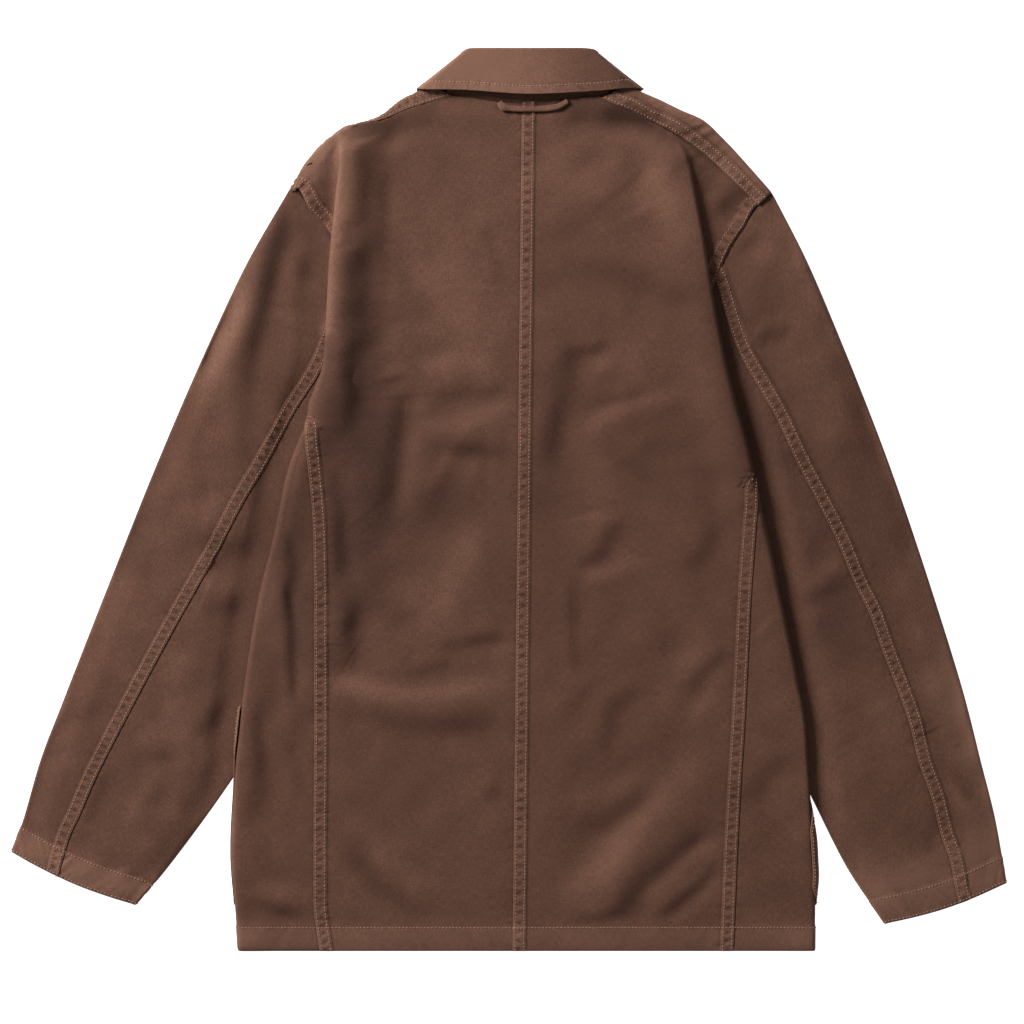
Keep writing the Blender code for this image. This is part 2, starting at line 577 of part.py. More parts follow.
def button(name, x, y, finish):
    disc = bmesh.new()
    bmesh.ops.create_cone(
        disc, cap_ends=True, segments=16, radius1=BUTTON_RADIUS * MM, radius2=BUTTON_RADIUS * MM,
        depth=BUTTON_THICK * MM,
    )  # fmt: skip
    mesh = bpy.data.meshes.new(name)
    disc.to_mesh(mesh)
    disc.free()
    mesh.materials.append(finish)
    made = bpy.data.objects.new(name, mesh)
    made.location = (x * MM, y * MM, BUTTON_THICK / 2 * MM)
    collection.objects.link(made)


def hanger(name, finish):
    line = bpy.data.curves.new(name, "CURVE")
    line.dimensions = "3D"
    line.bevel_depth = HANGER_RADIUS * MM
    line.bevel_resolution = 2
    line.use_fill_caps = True
    spline = line.splines.new("POLY")
    count = 14
    spline.points.add(count)
    z = Z_MIDDLE + CLOTH / 2 + GAP + HANGER_RADIUS
    for k in range(count + 1):
        x, y = along(HANGER, k / count)
        spline.points[k].co = (x * MM, y * MM, z * MM, 1)
    line.materials.append(finish)
    collection.objects.link(bpy.data.objects.new(name, line))


def main():
    twill = material("brown_twill", (0.127, 0.065, 0.045), 0.9)
    horn = material("brown_button", (0.05, 0.03, 0.02), 0.4)

    for word, side in (("left", LEFT), ("right", RIGHT)):
        under = side["under_row"]
        last = len(side["back"]["y_mid"]) - 1
        below = [under, under + 0.33, under + 0.67] + list(range(under + 1, last + 1))
        rows = [back_section(side, v) for v in list(range(under)) + below]
        cloth(f"back_{word}", rows, twill)

        upper = len(side["front"]["x_in"])
        rows = shoulder_sections(side) + [front_upper_section(side, v) for v in range(upper)]
        rows += [front_section(side, v) for v in below]
        cloth(f"front_{word}", rows, twill)

        places = [0, 0.04, 0.1, 0.18, 0.27, 0.37, 0.48, 0.6, 0.72, 0.83, 0.92, 1]
        top = [sleeve_section(side, v, GAP / 2, "top") for v in places]
        cloth(f"sleeve_{word}_top", top, twill)
        low = [sleeve_section(side, v, GAP / 2, "under") for v in places]
        cloth(f"sleeve_{word}_under", low, twill)

        cloth(f"pocket_{word}", pocket_rows(side, rows), twill)

    cloth("collar", [collar_section(at_row(COLLAR, v)) for v in range(len(COLLAR["x_seam"]))], twill)
    hanger("hanger_loop", twill)
    for k in range(4):
        button(f"button_{k + 1}", 0, BUTTON_TOP - k * BUTTON_PITCH, horn)


for old in list(bpy.data.objects):
    bpy.data.objects.remove(old, do_unlink=True)
collection = bpy.data.collections.new("blazer")
bpy.context.scene.collection.children.link(collection)
main()
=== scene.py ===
"""The looks of a brown cotton-twill blazer laid face down on a pale surface, its back up.

Every cloth piece is worked out again here from the tables that its solid comes from, on a much finer grid, and
gets its felled seams, hems, puckers and soft folds. Sizes are in millimetres until a mesh is made. Places read
off the photograph are in its pixels and go through px().
"""

import json
import math
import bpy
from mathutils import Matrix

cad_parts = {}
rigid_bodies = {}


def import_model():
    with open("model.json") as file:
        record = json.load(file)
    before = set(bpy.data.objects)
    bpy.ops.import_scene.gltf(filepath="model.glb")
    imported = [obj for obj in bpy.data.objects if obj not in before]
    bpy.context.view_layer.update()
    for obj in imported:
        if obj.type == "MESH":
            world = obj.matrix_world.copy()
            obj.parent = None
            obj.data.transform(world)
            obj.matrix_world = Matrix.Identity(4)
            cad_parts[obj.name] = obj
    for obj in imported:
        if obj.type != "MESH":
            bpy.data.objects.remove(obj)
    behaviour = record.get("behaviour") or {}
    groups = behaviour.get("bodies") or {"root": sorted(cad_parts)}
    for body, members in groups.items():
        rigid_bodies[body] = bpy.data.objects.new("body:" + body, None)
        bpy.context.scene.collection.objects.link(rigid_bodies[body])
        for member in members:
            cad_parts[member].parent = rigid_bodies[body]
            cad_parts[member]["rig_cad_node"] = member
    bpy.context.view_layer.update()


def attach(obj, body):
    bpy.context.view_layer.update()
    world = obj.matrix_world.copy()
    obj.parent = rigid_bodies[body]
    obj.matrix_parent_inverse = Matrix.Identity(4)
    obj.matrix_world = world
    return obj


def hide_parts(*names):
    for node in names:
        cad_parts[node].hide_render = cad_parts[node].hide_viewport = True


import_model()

import bpy
import numpy as np
from mathutils import Vector

MM = 0.001
PIXEL = 0.87  # mm of the jacket in one pixel of the photograph
WALL_UP, WALL_DOWN = 0.6, 0.35  # the cloth, either side of the middle of its solid
GAP = 0.3
Z_TABLE, Z_SLEEVE, Z_SLEEVE_FREE, Z_OVER, Z_MIDDLE, Z_SIDE = 0.6, 2.4, 4.6, 4.2, 5.6, 7.6
BUTTON_RISE, COLLAR_RISE, POCKET_RISE, OVERLAP_RISE = 1.9, 1.5, 1.5, 1.8
TUCK_DEPTH, FRONT_LAP = 16.0, 20.0
POCKET_WIDTH, POCKET_TOP, POCKET_BOTTOM = 165.0, -178.0, -352.0
BAND = 11.3  # width of a felled seam
ROWS = (2.0, 9.6)  # its two rows of stitches, from its edge
BAND_RISE = 0.75
HEM, CUFF = 22.0, 24.0
STITCH_PITCH, STITCH_LENGTH, STITCH_RADIUS = 3.1, 1.8, 0.47
rng = np.random.default_rng(11)


def px(x, y):
    return (np.asarray(x, float) - 508.5) * PIXEL, (500.5 - np.asarray(y, float)) * PIXEL


def table(names, *rows):
    """Columns by name, each over the rows."""
    return dict(zip(names.split(), np.array(rows, float).T))


BACK_LEFT = table(
    "y_mid  x_fold  y_fold  x_edge  y_edge  past  open  tuck",
    (345.0, -144.9, 319.5, -186.6, 270.1, 0.0, 0.0, 1.0),
    (320.6, -148.3, 292.2, -172.7, 254.5, 0.0, 0.6, 1.0),
    (291.9, -150.9, 262.8, -155.3, 235.3, 0.0, 1.0, 1.0),
    (257.1, -154.4, 228.0, -142.2, 212.3, 12.2, 1.0, 1.0),
    (213.6, -157.0, 190.8, -128.3, 189.0, 28.7, 1.0, 1.0),
    (165.7, -158.8, 151.7, -102.2, 150.8, 56.6, 1.0, 1.0),
    (122.2, -161.4, 119.5, -77.0, 118.9, 84.4, 1.0, 1.0),
    (95.0, -168.5, 97.5, -60.0, 97.0, 108.5, 1.0, 0.9),
    (80.0, -173.6, 84.1, -51.8, 84.1, 119.5, 1.0, 0.0),
    (68.3, -175.7, 68.3, -175.7, 68.3, 0.0, 1.0, 0.0),
    (52.6, -182.3, 52.6, -175.3, 52.6, -7.0, 1.0, 0.0),
    (26.5, -191.8, 26.5, -172.7, 26.5, -19.1, 1.0, 0.0),
    (-30.9, -204.0, -30.9, -168.3, -30.9, -35.7, 1.0, 0.0),
    (-91.8, -218.8, -91.8, -167.5, -91.8, -51.3, 1.0, 0.0),
    (-146.6, -227.5, -146.6, -167.5, -146.6, -60.0, 1.0, 0.0),
    (-198.8, -234.0, -198.8, -167.5, -198.8, -66.5, 1.0, 0.0),
    (-253.6, -238.8, -253.6, -167.9, -253.6, -70.9, 1.0, 0.0),
    (-304.1, -241.4, -304.1, -168.3, -304.1, -73.1, 1.0, 0.0),
    (-348.4, -238.4, -348.4, -168.3, -348.4, -70.1, 1.0, 0.0),
    (-391.9, -235.3, -391.9, -163.0, -391.9, -72.3, 1.0, 0.0),
)
BACK_RIGHT = table(
    "y_mid  x_fold  y_fold  x_edge  y_edge  past  open  tuck",
    (345.0, 142.2, 319.7, 218.8, 257.1, 0.0, 0.0, 1.0),
    (320.6, 157.9, 292.2, 204.9, 239.7, 0.0, 0.6, 1.0),
    (291.9, 164.0, 262.8, 191.0, 218.8, 0.0, 1.0, 1.0),
    (257.1, 170.1, 231.0, 179.7, 193.6, 0.0, 1.0, 1.0),
    (209.2, 177.0, 187.5, 168.3, 164.0, 8.7, 1.0, 1.0),
    (157.0, 186.6, 135.3, 152.7, 127.5, 33.9, 1.0, 1.0),
    (104.8, 197.9, 87.4, 133.5, 85.7, 64.4, 1.0, 1.0),
    (61.3, 208.4, 50.4, 119.6, 50.6, 88.8, 1.0, 0.9),
    (39.0, 211.8, 34.5, 115.3, 37.0, 94.0, 1.0, 0.0),
    (17.8, 215.3, 17.8, 215.3, 17.8, 0.0, 1.0, 0.0),
    (0.4, 218.8, 0.4, 215.3, 0.4, -5.0, 1.0, 0.0),
    (-30.9, 226.2, -30.9, 213.2, -30.9, -13.0, 1.0, 0.0),
    (-91.8, 238.8, -91.8, 209.2, -91.8, -29.6, 1.0, 0.0),
    (-146.6, 250.1, -146.6, 206.6, -146.6, -43.5, 1.0, 0.0),
    (-198.8, 258.8, -198.8, 204.0, -198.8, -54.8, 1.0, 0.0),
    (-253.6, 262.0, -253.6, 200.5, -253.6, -61.5, 1.0, 0.0),
    (-304.1, 265.3, -304.1, 197.9, -304.1, -67.4, 1.0, 0.0),
    (-348.4, 267.0, -348.4, 196.2, -348.4, -70.8, 1.0, 0.0),
    (-391.9, 266.7, -391.9, 194.4, -391.9, -72.3, 1.0, 0.0),
)
TOP_LEFT = table(
    "x  y",
    (12.6, 345.0), (-10.9, 346.7), (-32.6, 350.2), (-54.4, 352.0), (-68.3, 347.6), (-90.0, 340.6),
    (-110.1, 331.8), (-129.2, 324.7), (-144.9, 319.5), (-163.1, 304.5), (-177.9, 286.4), (-186.6, 270.1),
)  # fmt: skip
TOP_RIGHT = table(
    "x  y",
    (12.6, 345.0), (51.8, 347.1), (76.1, 349.3), (88.3, 348.3), (97.0, 342.3), (113.5, 337.1),
    (126.6, 329.3), (142.2, 319.7), (170.1, 300.6), (188.4, 285.8), (205.8, 270.1), (218.8, 257.1),
)  # fmt: skip
SHOULDER_LEFT = table(
    "x  y  x_seam  y_seam",
    (-67.0, 363.0, -50.0, 352.5), (-79.8, 356.2, -66.0, 348.0), (-94.4, 348.4, -88.0, 341.4), (-113.5, 334.5, -110.1, 331.8),
    (-144.9, 324.9, -143.0, 320.3), (-163.1, 311.0, -160.0, 307.3), (-177.9, 291.9, -174.5, 291.0),
    (-190.1, 272.7, -186.6, 270.1),
)  # fmt: skip
SHOULDER_RIGHT = table(
    "x  y  x_seam  y_seam",
    (102.0, 363.0, 82.0, 350.5), (115.0, 355.8, 94.0, 344.5), (132.6, 348.4, 108.0, 339.0), (150.1, 339.7, 124.0, 331.0),
    (168.3, 331.9, 143.4, 321.0), (189.2, 312.8, 173.0, 300.6), (210.1, 290.1, 197.0, 278.6),
    (229.4, 268.3, 218.3, 257.8),
)  # fmt: skip
FRONT_LEFT = table(
    "x_in  y_in  x_edge  y_edge",
    (-61.3, 332.8, -172.2, 254.2), (-52.0, 312.0, -155.8, 234.9), (-38.0, 296.0, -142.2, 212.4),
    (-12.0, 279.0, -128.3, 189.1), (FRONT_LAP, 270.0, -102.2, 150.9), (FRONT_LAP, 190.0, -77.0, 119.0),
    (FRONT_LAP, 110.0, -60.0, 97.1),
)  # fmt: skip
FRONT_RIGHT = table(
    "x_in  y_in  x_edge  y_edge",
    (80.0, 334.0, 205.1, 239.4), (66.0, 312.0, 191.0, 218.8), (50.0, 296.0, 179.7, 193.5),
    (22.0, 279.0, 168.3, 163.9), (-FRONT_LAP, 270.0, 152.7, 127.4), (-FRONT_LAP, 180.0, 133.5, 85.5),
    (-FRONT_LAP, 80.0, 119.6, 51.0),
)  # fmt: skip
OUTER_LEFT = table(
    "x  y",
    (-190.1, 272.7), (-226.6, 209.2), (-259.7, 139.6), (-304.9, 35.2), (-346.7, -69.2), (-387.6, -173.6),
    (-407.6, -225.8), (-423.3, -279.7), (-432.8, -305.8),
)  # fmt: skip
OUTER_RIGHT = table(
    "x  y",
    (230.1, 267.5), (259.7, 209.2), (289.3, 139.6), (330.2, 35.2), (365.8, -69.2), (398.0, -173.6),
    (411.1, -225.8), (424.1, -278.0), (433.7, -332.8),
)  # fmt: skip
INNER_LEFT = table("x  y", (-55.6, 80.2), (-146.6, -81.3), (-239.7, -241.4), (-306.7, -331.9), (-324.9, -351.9))
INNER_RIGHT = table("x  y", (120.2, 33.6), (188.4, -110.9), (261.4, -253.6), (296.2, -322.3), (327.6, -368.4))
ARMHOLE_LEFT = table(
    "x  y",
    (-190.1, 272.7), (-172.7, 253.5), (-156.3, 234.3), (-142.7, 211.8), (-128.8, 188.5), (-102.7, 150.3),
    (-78.0, 118.0), (-62.6, 94.7), (-55.6, 80.2),
)  # fmt: skip
ARMHOLE_RIGHT = table(
    "x  y",
    (230.1, 267.5), (205.6, 238.9), (191.5, 218.3), (180.2, 193.1), (168.8, 163.5), (153.2, 127.0),
    (134.6, 84.8), (122.9, 49.0), (120.2, 33.6),
)  # fmt: skip
LIFT_LEFT = table(
    "y  x",
    (331.0, -150.0), (296.2, -132.0), (265.8, -132.0), (231.0, -122.0), (191.8, -106.0), (152.7, -82.0),
    (120.5, -60.0), (83.1, -42.5), (0.4, -84.0), (-81.3, -134.0), (-173.6, -188.0), (-241.4, -228.0),
    (-312.8, -275.0), (-391.9, -328.0),
)  # fmt: skip
LIFT_RIGHT = table(
    "y  x",
    (331.0, 152.0), (296.2, 141.0), (265.8, 145.0), (231.0, 152.0), (187.5, 149.0), (135.3, 133.0),
    (87.4, 112.0), (37.0, 92.0), (-43.1, 138.0), (-110.9, 176.0), (-182.3, 212.0), (-253.6, 249.0),
    (-322.3, 294.0), (-391.9, 338.0),
)  # fmt: skip
COLLAR = table(
    "x_seam  y_seam  x_roll  y_roll  x_fall  y_fall  z_seam  z_stand  z_fall",
    (-24.0, 291.0, -18.0, 304.0, -40.0, 258.0, 2.1, 2.1, 0.6),
    (-38.0, 301.0, -30.0, 318.0, -60.0, 272.0, 2.1, 2.1, 0.6),
    (-51.0, 318.0, -37.0, 342.0, -77.0, 297.0, 2.1, 2.1, 0.6),
    (-57.0, 338.0, -39.5, 372.0, -81.0, 334.0, 2.2, 2.2, 0.6),
    (-57.5, 346.0, -40.5, 382.0, -80.0, 349.0, 2.2, 2.2, 0.6),
    (-56.0, 352.0, -41.5, 388.5, -79.5, 358.4, 3.8, 3.9, 4.6),
    (-51.0, 356.0, -33.0, 393.4, -74.0, 357.0, 5.4, 5.5, 8.8),
    (-32.0, 351.5, -18.0, 393.7, -40.0, 356.3, 5.6, 5.6, 8.8),
    (13.0, 346.0, 16.0, 393.7, 20.0, 352.6, 5.6, 5.6, 8.8),
    (76.0, 350.5, 58.0, 393.7, 80.0, 355.7, 5.6, 5.6, 8.8),
    (86.0, 355.0, 72.0, 393.0, 104.0, 358.0, 5.4, 5.5, 8.8),
    (88.5, 351.0, 78.5, 389.0, 117.5, 357.8, 3.8, 3.9, 4.6),
    (84.0, 345.0, 78.3, 382.0, 112.5, 353.6, 2.2, 2.2, 0.6),
    (78.0, 336.0, 77.0, 372.0, 110.0, 334.0, 2.2, 2.2, 0.6),
    (64.3, 314.0, 64.0, 342.0, 98.0, 297.0, 2.1, 2.1, 0.6),
    (48.5, 298.2, 46.0, 318.0, 76.0, 272.0, 2.1, 2.1, 0.6),
    (38.0, 291.5, 36.0, 304.0, 54.0, 258.0, 2.1, 2.1, 0.6),
)
HANGER = table(
    "x  y", (-8.0, 346.0), (-4.5, 341.8), (5.0, 340.4), (16.0, 339.9), (28.0, 340.3), (41.5, 341.8), (51.5, 347.0)
)
# Where the back seam of each sleeve runs, from the armhole to the cuff, in the photograph's pixels.
SEAM_LEFT = table(
    "x  y", (352, 240), (344.5, 257), (335, 330), (321, 367), (293, 412), (266, 462), (242, 503), (220, 546), (212, 560),
    (166, 642), (127, 715), (94, 780), (79, 815), (69, 836), (60, 866), (56, 880),
)  # fmt: skip
SEAM_RIGHT = table(
    "x  y", (706, 255), (715.6, 278.5), (738, 347), (762, 390), (779, 421), (793, 452), (817, 499), (839, 543), (854, 580),
    (871, 615), (882, 647), (897, 686), (910, 723), (919, 760), (933, 799), (942, 835), (951, 860), (957, 891), (961, 905),
)  # fmt: skip

# Soft folds: a curve through three places in pixels, its half width in pixels, and how much lighter or darker its slope
# makes the cloth there, from the side the light comes from.
# Each fold's shade is also painted into the colour, as painted shade and painted light, in folds().
BODY_FOLDS = table(
    "x0  y0  x1  y1  x2  y2  width  shade",
    # left half of the back, above
    (345, 130, 392, 126, 436, 110, 8, -0.62),
    (338, 140, 372, 143, 412, 146, 8, 0.24),
    (364, 158, 364, 195, 358, 232, 5, -0.20),
    (388, 162, 384, 195, 380, 228, 5, -0.12),
    (346, 266, 370, 260, 398, 262, 12, -0.18),
    (360, 280, 357, 312, 352, 342, 10, -0.26),
    (332, 362, 352, 350, 380, 334, 8, -0.34),
    (353, 352, 352, 398, 350, 434, 6, -0.50),
    (372, 306, 392, 312, 412, 322, 10, -0.24),
    (378, 376, 392, 370, 404, 362, 5, 0.22),
    (376, 384, 390, 380, 404, 376, 3, -0.25),
    (400, 392, 396, 444, 380, 530, 9, -0.50),
    (414, 392, 410, 440, 404, 520, 8, 0.22),
    (332, 462, 338, 520, 342, 582, 7, -0.42),
    (346, 596, 350, 630, 346, 658, 8, -0.34),
    (418, 370, 448, 362, 486, 364, 8, 0.20),
    (436, 390, 474, 392, 514, 386, 9, -0.24),
    (424, 424, 466, 420, 508, 410, 8, 0.24),
    (426, 438, 470, 450, 512, 456, 7, -0.28),
    (478, 228, 492, 254, 500, 286, 4, -0.12),
    (436, 289, 470, 286, 508, 291, 2, 0.10),
    (400, 470, 440, 500, 506, 500, 18, -0.14),
    # left half, below
    (484, 528, 452, 574, 404, 642, 15, 0.15),
    (370, 600, 392, 616, 414, 622, 9, -0.24),
    (438, 648, 472, 641, 508, 636, 6, -0.30),
    (408, 668, 432, 668, 456, 658, 6, -0.16),
    (330, 668, 400, 694, 504, 680, 10, 0.22),
    (344, 702, 416, 724, 502, 714, 10, -0.20),
    (478, 796, 490, 793, 502, 790, 6, -0.16),
    (340, 842, 380, 884, 440, 922, 9, -0.36),
    (366, 842, 396, 868, 428, 900, 9, 0.24),
    (330, 860, 352, 884, 384, 908, 9, 0.12),
    (250, 896, 274, 908, 306, 918, 5, -0.34),
    (252, 884, 284, 890, 304, 904, 8, 0.18),
    (286, 578, 291, 636, 292, 706, 4, -0.66),
    (272, 560, 272, 610, 276, 660, 8, 0.26),
    (254, 704, 258, 742, 262, 790, 6, -0.26),
    (286, 740, 296, 768, 304, 800, 6, -0.16),
    (284, 532, 290, 556, 292, 586, 5, -0.24),
    # right half of the back, above
    (556, 116, 626, 116, 694, 144, 9, -0.60),
    (600, 128, 650, 138, 690, 156, 8, 0.22),
    (640, 150, 662, 176, 680, 210, 18, 0.18),
    (560, 172, 584, 160, 604, 150, 7, -0.12),
    (572, 252, 626, 278, 700, 304, 11, -0.22),
    (600, 240, 630, 256, 660, 270, 9, 0.14),
    (588, 208, 620, 214, 650, 226, 8, -0.10),
    (574, 340, 562, 396, 546, 480, 9, -0.42),
    (572, 348, 592, 350, 610, 340, 5, -0.26),
    (582, 368, 604, 364, 630, 358, 7, 0.16),
    (592, 402, 620, 398, 646, 390, 5, -0.22),
    (588, 432, 622, 408, 694, 394, 7, 0.26),
    (590, 440, 628, 464, 664, 488, 8, -0.28),
    (630, 446, 660, 448, 700, 440, 8, -0.12),
    (586, 470, 596, 500, 602, 520, 12, 0.14),
    # right half, below
    (620, 508, 604, 548, 574, 568, 7, -0.32),
    (572, 574, 572, 620, 575, 684, 4, -0.24),
    (582, 580, 604, 572, 644, 560, 7, 0.26),
    (588, 536, 596, 522, 604, 510, 6, 0.20),
    (716, 522, 704, 550, 688, 580, 8, -0.28),
    (728, 646, 706, 670, 684, 692, 7, -0.24),
    (706, 632, 670, 684, 640, 724, 10, 0.20),
    (724, 686, 706, 700, 694, 724, 7, 0.16),
    (646, 692, 616, 708, 604, 768, 8, -0.30),
    (598, 690, 584, 694, 566, 720, 7, -0.16),
    (560, 792, 604, 792, 654, 758, 8, 0.18),
    (572, 822, 606, 820, 652, 788, 8, -0.22),
    (556, 908, 622, 842, 708, 742, 15, 0.32),
    (612, 918, 652, 872, 716, 822, 10, -0.34),
    (566, 921, 596, 917, 626, 912, 5, -0.28),
    (640, 906, 680, 866, 716, 838, 6, 0.34),
    (652, 920, 690, 892, 718, 860, 5, -0.46),
    (664, 922, 694, 908, 716, 890, 6, 0.16),
    (744, 802, 764, 776, 792, 752, 9, -0.20),
    (752, 640, 762, 628, 776, 612, 3, 0.14),
    # beside the right fold, over the sleeve's head
    (712, 166, 724, 174, 734, 186, 7, 0.34),
    (716, 218, 730, 198, 756, 186, 7, -0.44),
    (728, 232, 742, 216, 760, 204, 5, 0.26),
    (340, 133, 333, 150, 330, 176, 4, -0.40),
    (316, 150, 312, 172, 306, 186, 6, 0.20),
    (332, 194, 322, 208, 310, 222, 6, -0.52),
    (326, 214, 320, 222, 314, 228, 4, -0.40),
)  # fmt: skip
SLEEVE_FOLDS = table(
    "x0  y0  x1  y1  x2  y2  width  shade",
    (290, 204, 268, 284, 248, 372, 8, -0.9),
    (248, 372, 244, 420, 246, 474, 9, -0.28),
    (252, 292, 228, 338, 204, 392, 12, 0.42),
    (302, 300, 300, 330, 296, 372, 12, 0.18),
    (326, 206, 314, 222, 306, 242, 6, -0.60),
    (306, 200, 302, 216, 298, 232, 4, -0.34),
    (304, 248, 304, 266, 300, 286, 7, -0.34),
    (326, 250, 326, 266, 322, 284, 5, -0.34),
    (192, 492, 216, 486, 242, 478, 8, -0.16),
    (184, 512, 202, 508, 220, 504, 10, 0.14),
    (192, 534, 218, 542, 254, 556, 9, -0.24),
    (202, 572, 224, 584, 256, 590, 8, 0.22),
    (206, 598, 234, 610, 260, 620, 7, -0.28),
    (246, 698, 224, 706, 202, 746, 7, -0.36),
    (132, 746, 156, 756, 184, 750, 7, -0.16),
    (160, 700, 176, 720, 186, 742, 8, 0.16),
    (48, 724, 76, 716, 112, 700, 8, -0.18),
    (44, 772, 62, 762, 90, 752, 8, 0.16),
    (146, 812, 160, 788, 176, 764, 7, -0.18),
    (122, 830, 138, 800, 152, 772, 7, 0.18),
    (110, 760, 96, 800, 86, 824, 6, -0.20),
    (190, 640, 176, 664, 160, 690, 10, 0.12),
    (752, 340, 770, 336, 788, 331, 6, -0.32),
    (754, 326, 772, 322, 788, 318, 6, 0.20),
    (724, 262, 742, 244, 764, 234, 6, -0.42),
    (744, 268, 764, 256, 780, 244, 9, 0.18),
    (846, 404, 856, 460, 868, 526, 13, -0.14),
    (798, 560, 812, 546, 824, 526, 7, -0.20),
    (800, 584, 822, 572, 840, 552, 7, 0.30),
    (798, 604, 822, 592, 856, 580, 7, -0.22),
    (866, 552, 882, 546, 898, 532, 9, -0.14),
    (942, 634, 958, 690, 980, 764, 10, 0.20),
    (950, 762, 966, 790, 990, 802, 5, -0.30),
    (948, 780, 962, 806, 988, 818, 6, 0.18),
    (924, 856, 930, 836, 936, 812, 5, -0.18),
    (822, 740, 830, 752, 838, 766, 8, -0.10),
    (860, 690, 880, 720, 900, 760, 14, 0.10),
    (790, 240, 806, 300, 826, 360, 14, 0.16),
)  # fmt: skip


# --- small helpers --------------------------------------------------------------------------------------------


def smooth(x):
    x = np.clip(x, 0.0, 1.0)
    return x * x * (3 - 2 * x)


def mix(a, b, t):
    return a + (b - a) * t


def pchip(values, v):
    """A curve through the values at 0, 1, 2..., that never overshoots them."""
    y = np.asarray(values, float)
    d = np.diff(y)
    slope = np.zeros(len(y))
    turn = d[:-1] * d[1:] > 0
    slope[1:-1][turn] = 2 * d[:-1][turn] * d[1:][turn] / (d[:-1][turn] + d[1:][turn])
    slope[0], slope[-1] = d[0], d[-1]
    i = np.clip(np.floor(v).astype(int), 0, len(y) - 2)
    t = v - i
    a, b = (1 + 2 * t) * (1 - t) ** 2, t * (1 - t) ** 2
    c, e = t * t * (3 - 2 * t), t * t * (t - 1)
    return a * y[i] + b * slope[i] + c * y[i + 1] + e * slope[i + 1]


def dense(t, steps=14):
    n = len(next(iter(t.values())))
    v = np.linspace(0, n - 1, (n - 1) * steps + 1)
    return {key: pchip(column, v) for key, column in t.items()}


def at_row(t, v):
    return {key: float(pchip(column, np.array([float(v)]))[0]) for key, column in t.items()}


def between(t, key, x, value):
    order = np.argsort(t[key], kind="stable")
    return np.interp(x, t[key][order], t[value][order])


def along(t, u, x="x", y="y"):
    steps = np.hypot(np.diff(t[x]), np.diff(t[y]))
    length = np.concatenate([[0.0], np.cumsum(steps)])
    return np.interp(u * length[-1], length, t[x]), np.interp(u * length[-1], length, t[y])


def make_side(inward, back, top, shoulder, front, outer, inner, armhole, lift, seam):
    x, y = px(seam["x"], seam["y"])
    return dict(
        inward=inward, back=back, back_dense=dense(back), top=dense(top), shoulder=dense(shoulder), front=front,
        outer=dense(outer), inner=dense(inner), armhole=dense(armhole), armhole_plain=armhole, lift=dense(lift),
        seam=dense(dict(x=x, y=y)),
    )  # fmt: skip


LEFT = make_side(
    1, BACK_LEFT, TOP_LEFT, SHOULDER_LEFT, FRONT_LEFT, OUTER_LEFT, INNER_LEFT, ARMHOLE_LEFT, LIFT_LEFT, SEAM_LEFT
)
RIGHT = make_side(
    -1, BACK_RIGHT, TOP_RIGHT, SHOULDER_RIGHT, FRONT_RIGHT, OUTER_RIGHT, INNER_RIGHT, ARMHOLE_RIGHT, LIFT_RIGHT,
    SEAM_RIGHT,
)  # fmt: skip


LIGHT_X, LIGHT_Y = 0.80, -0.60  # the way the light travels over the table
GAIN = 0.62


def bell(q):
    return np.tanh(0.7979 * q + 0.03634 * q**3)


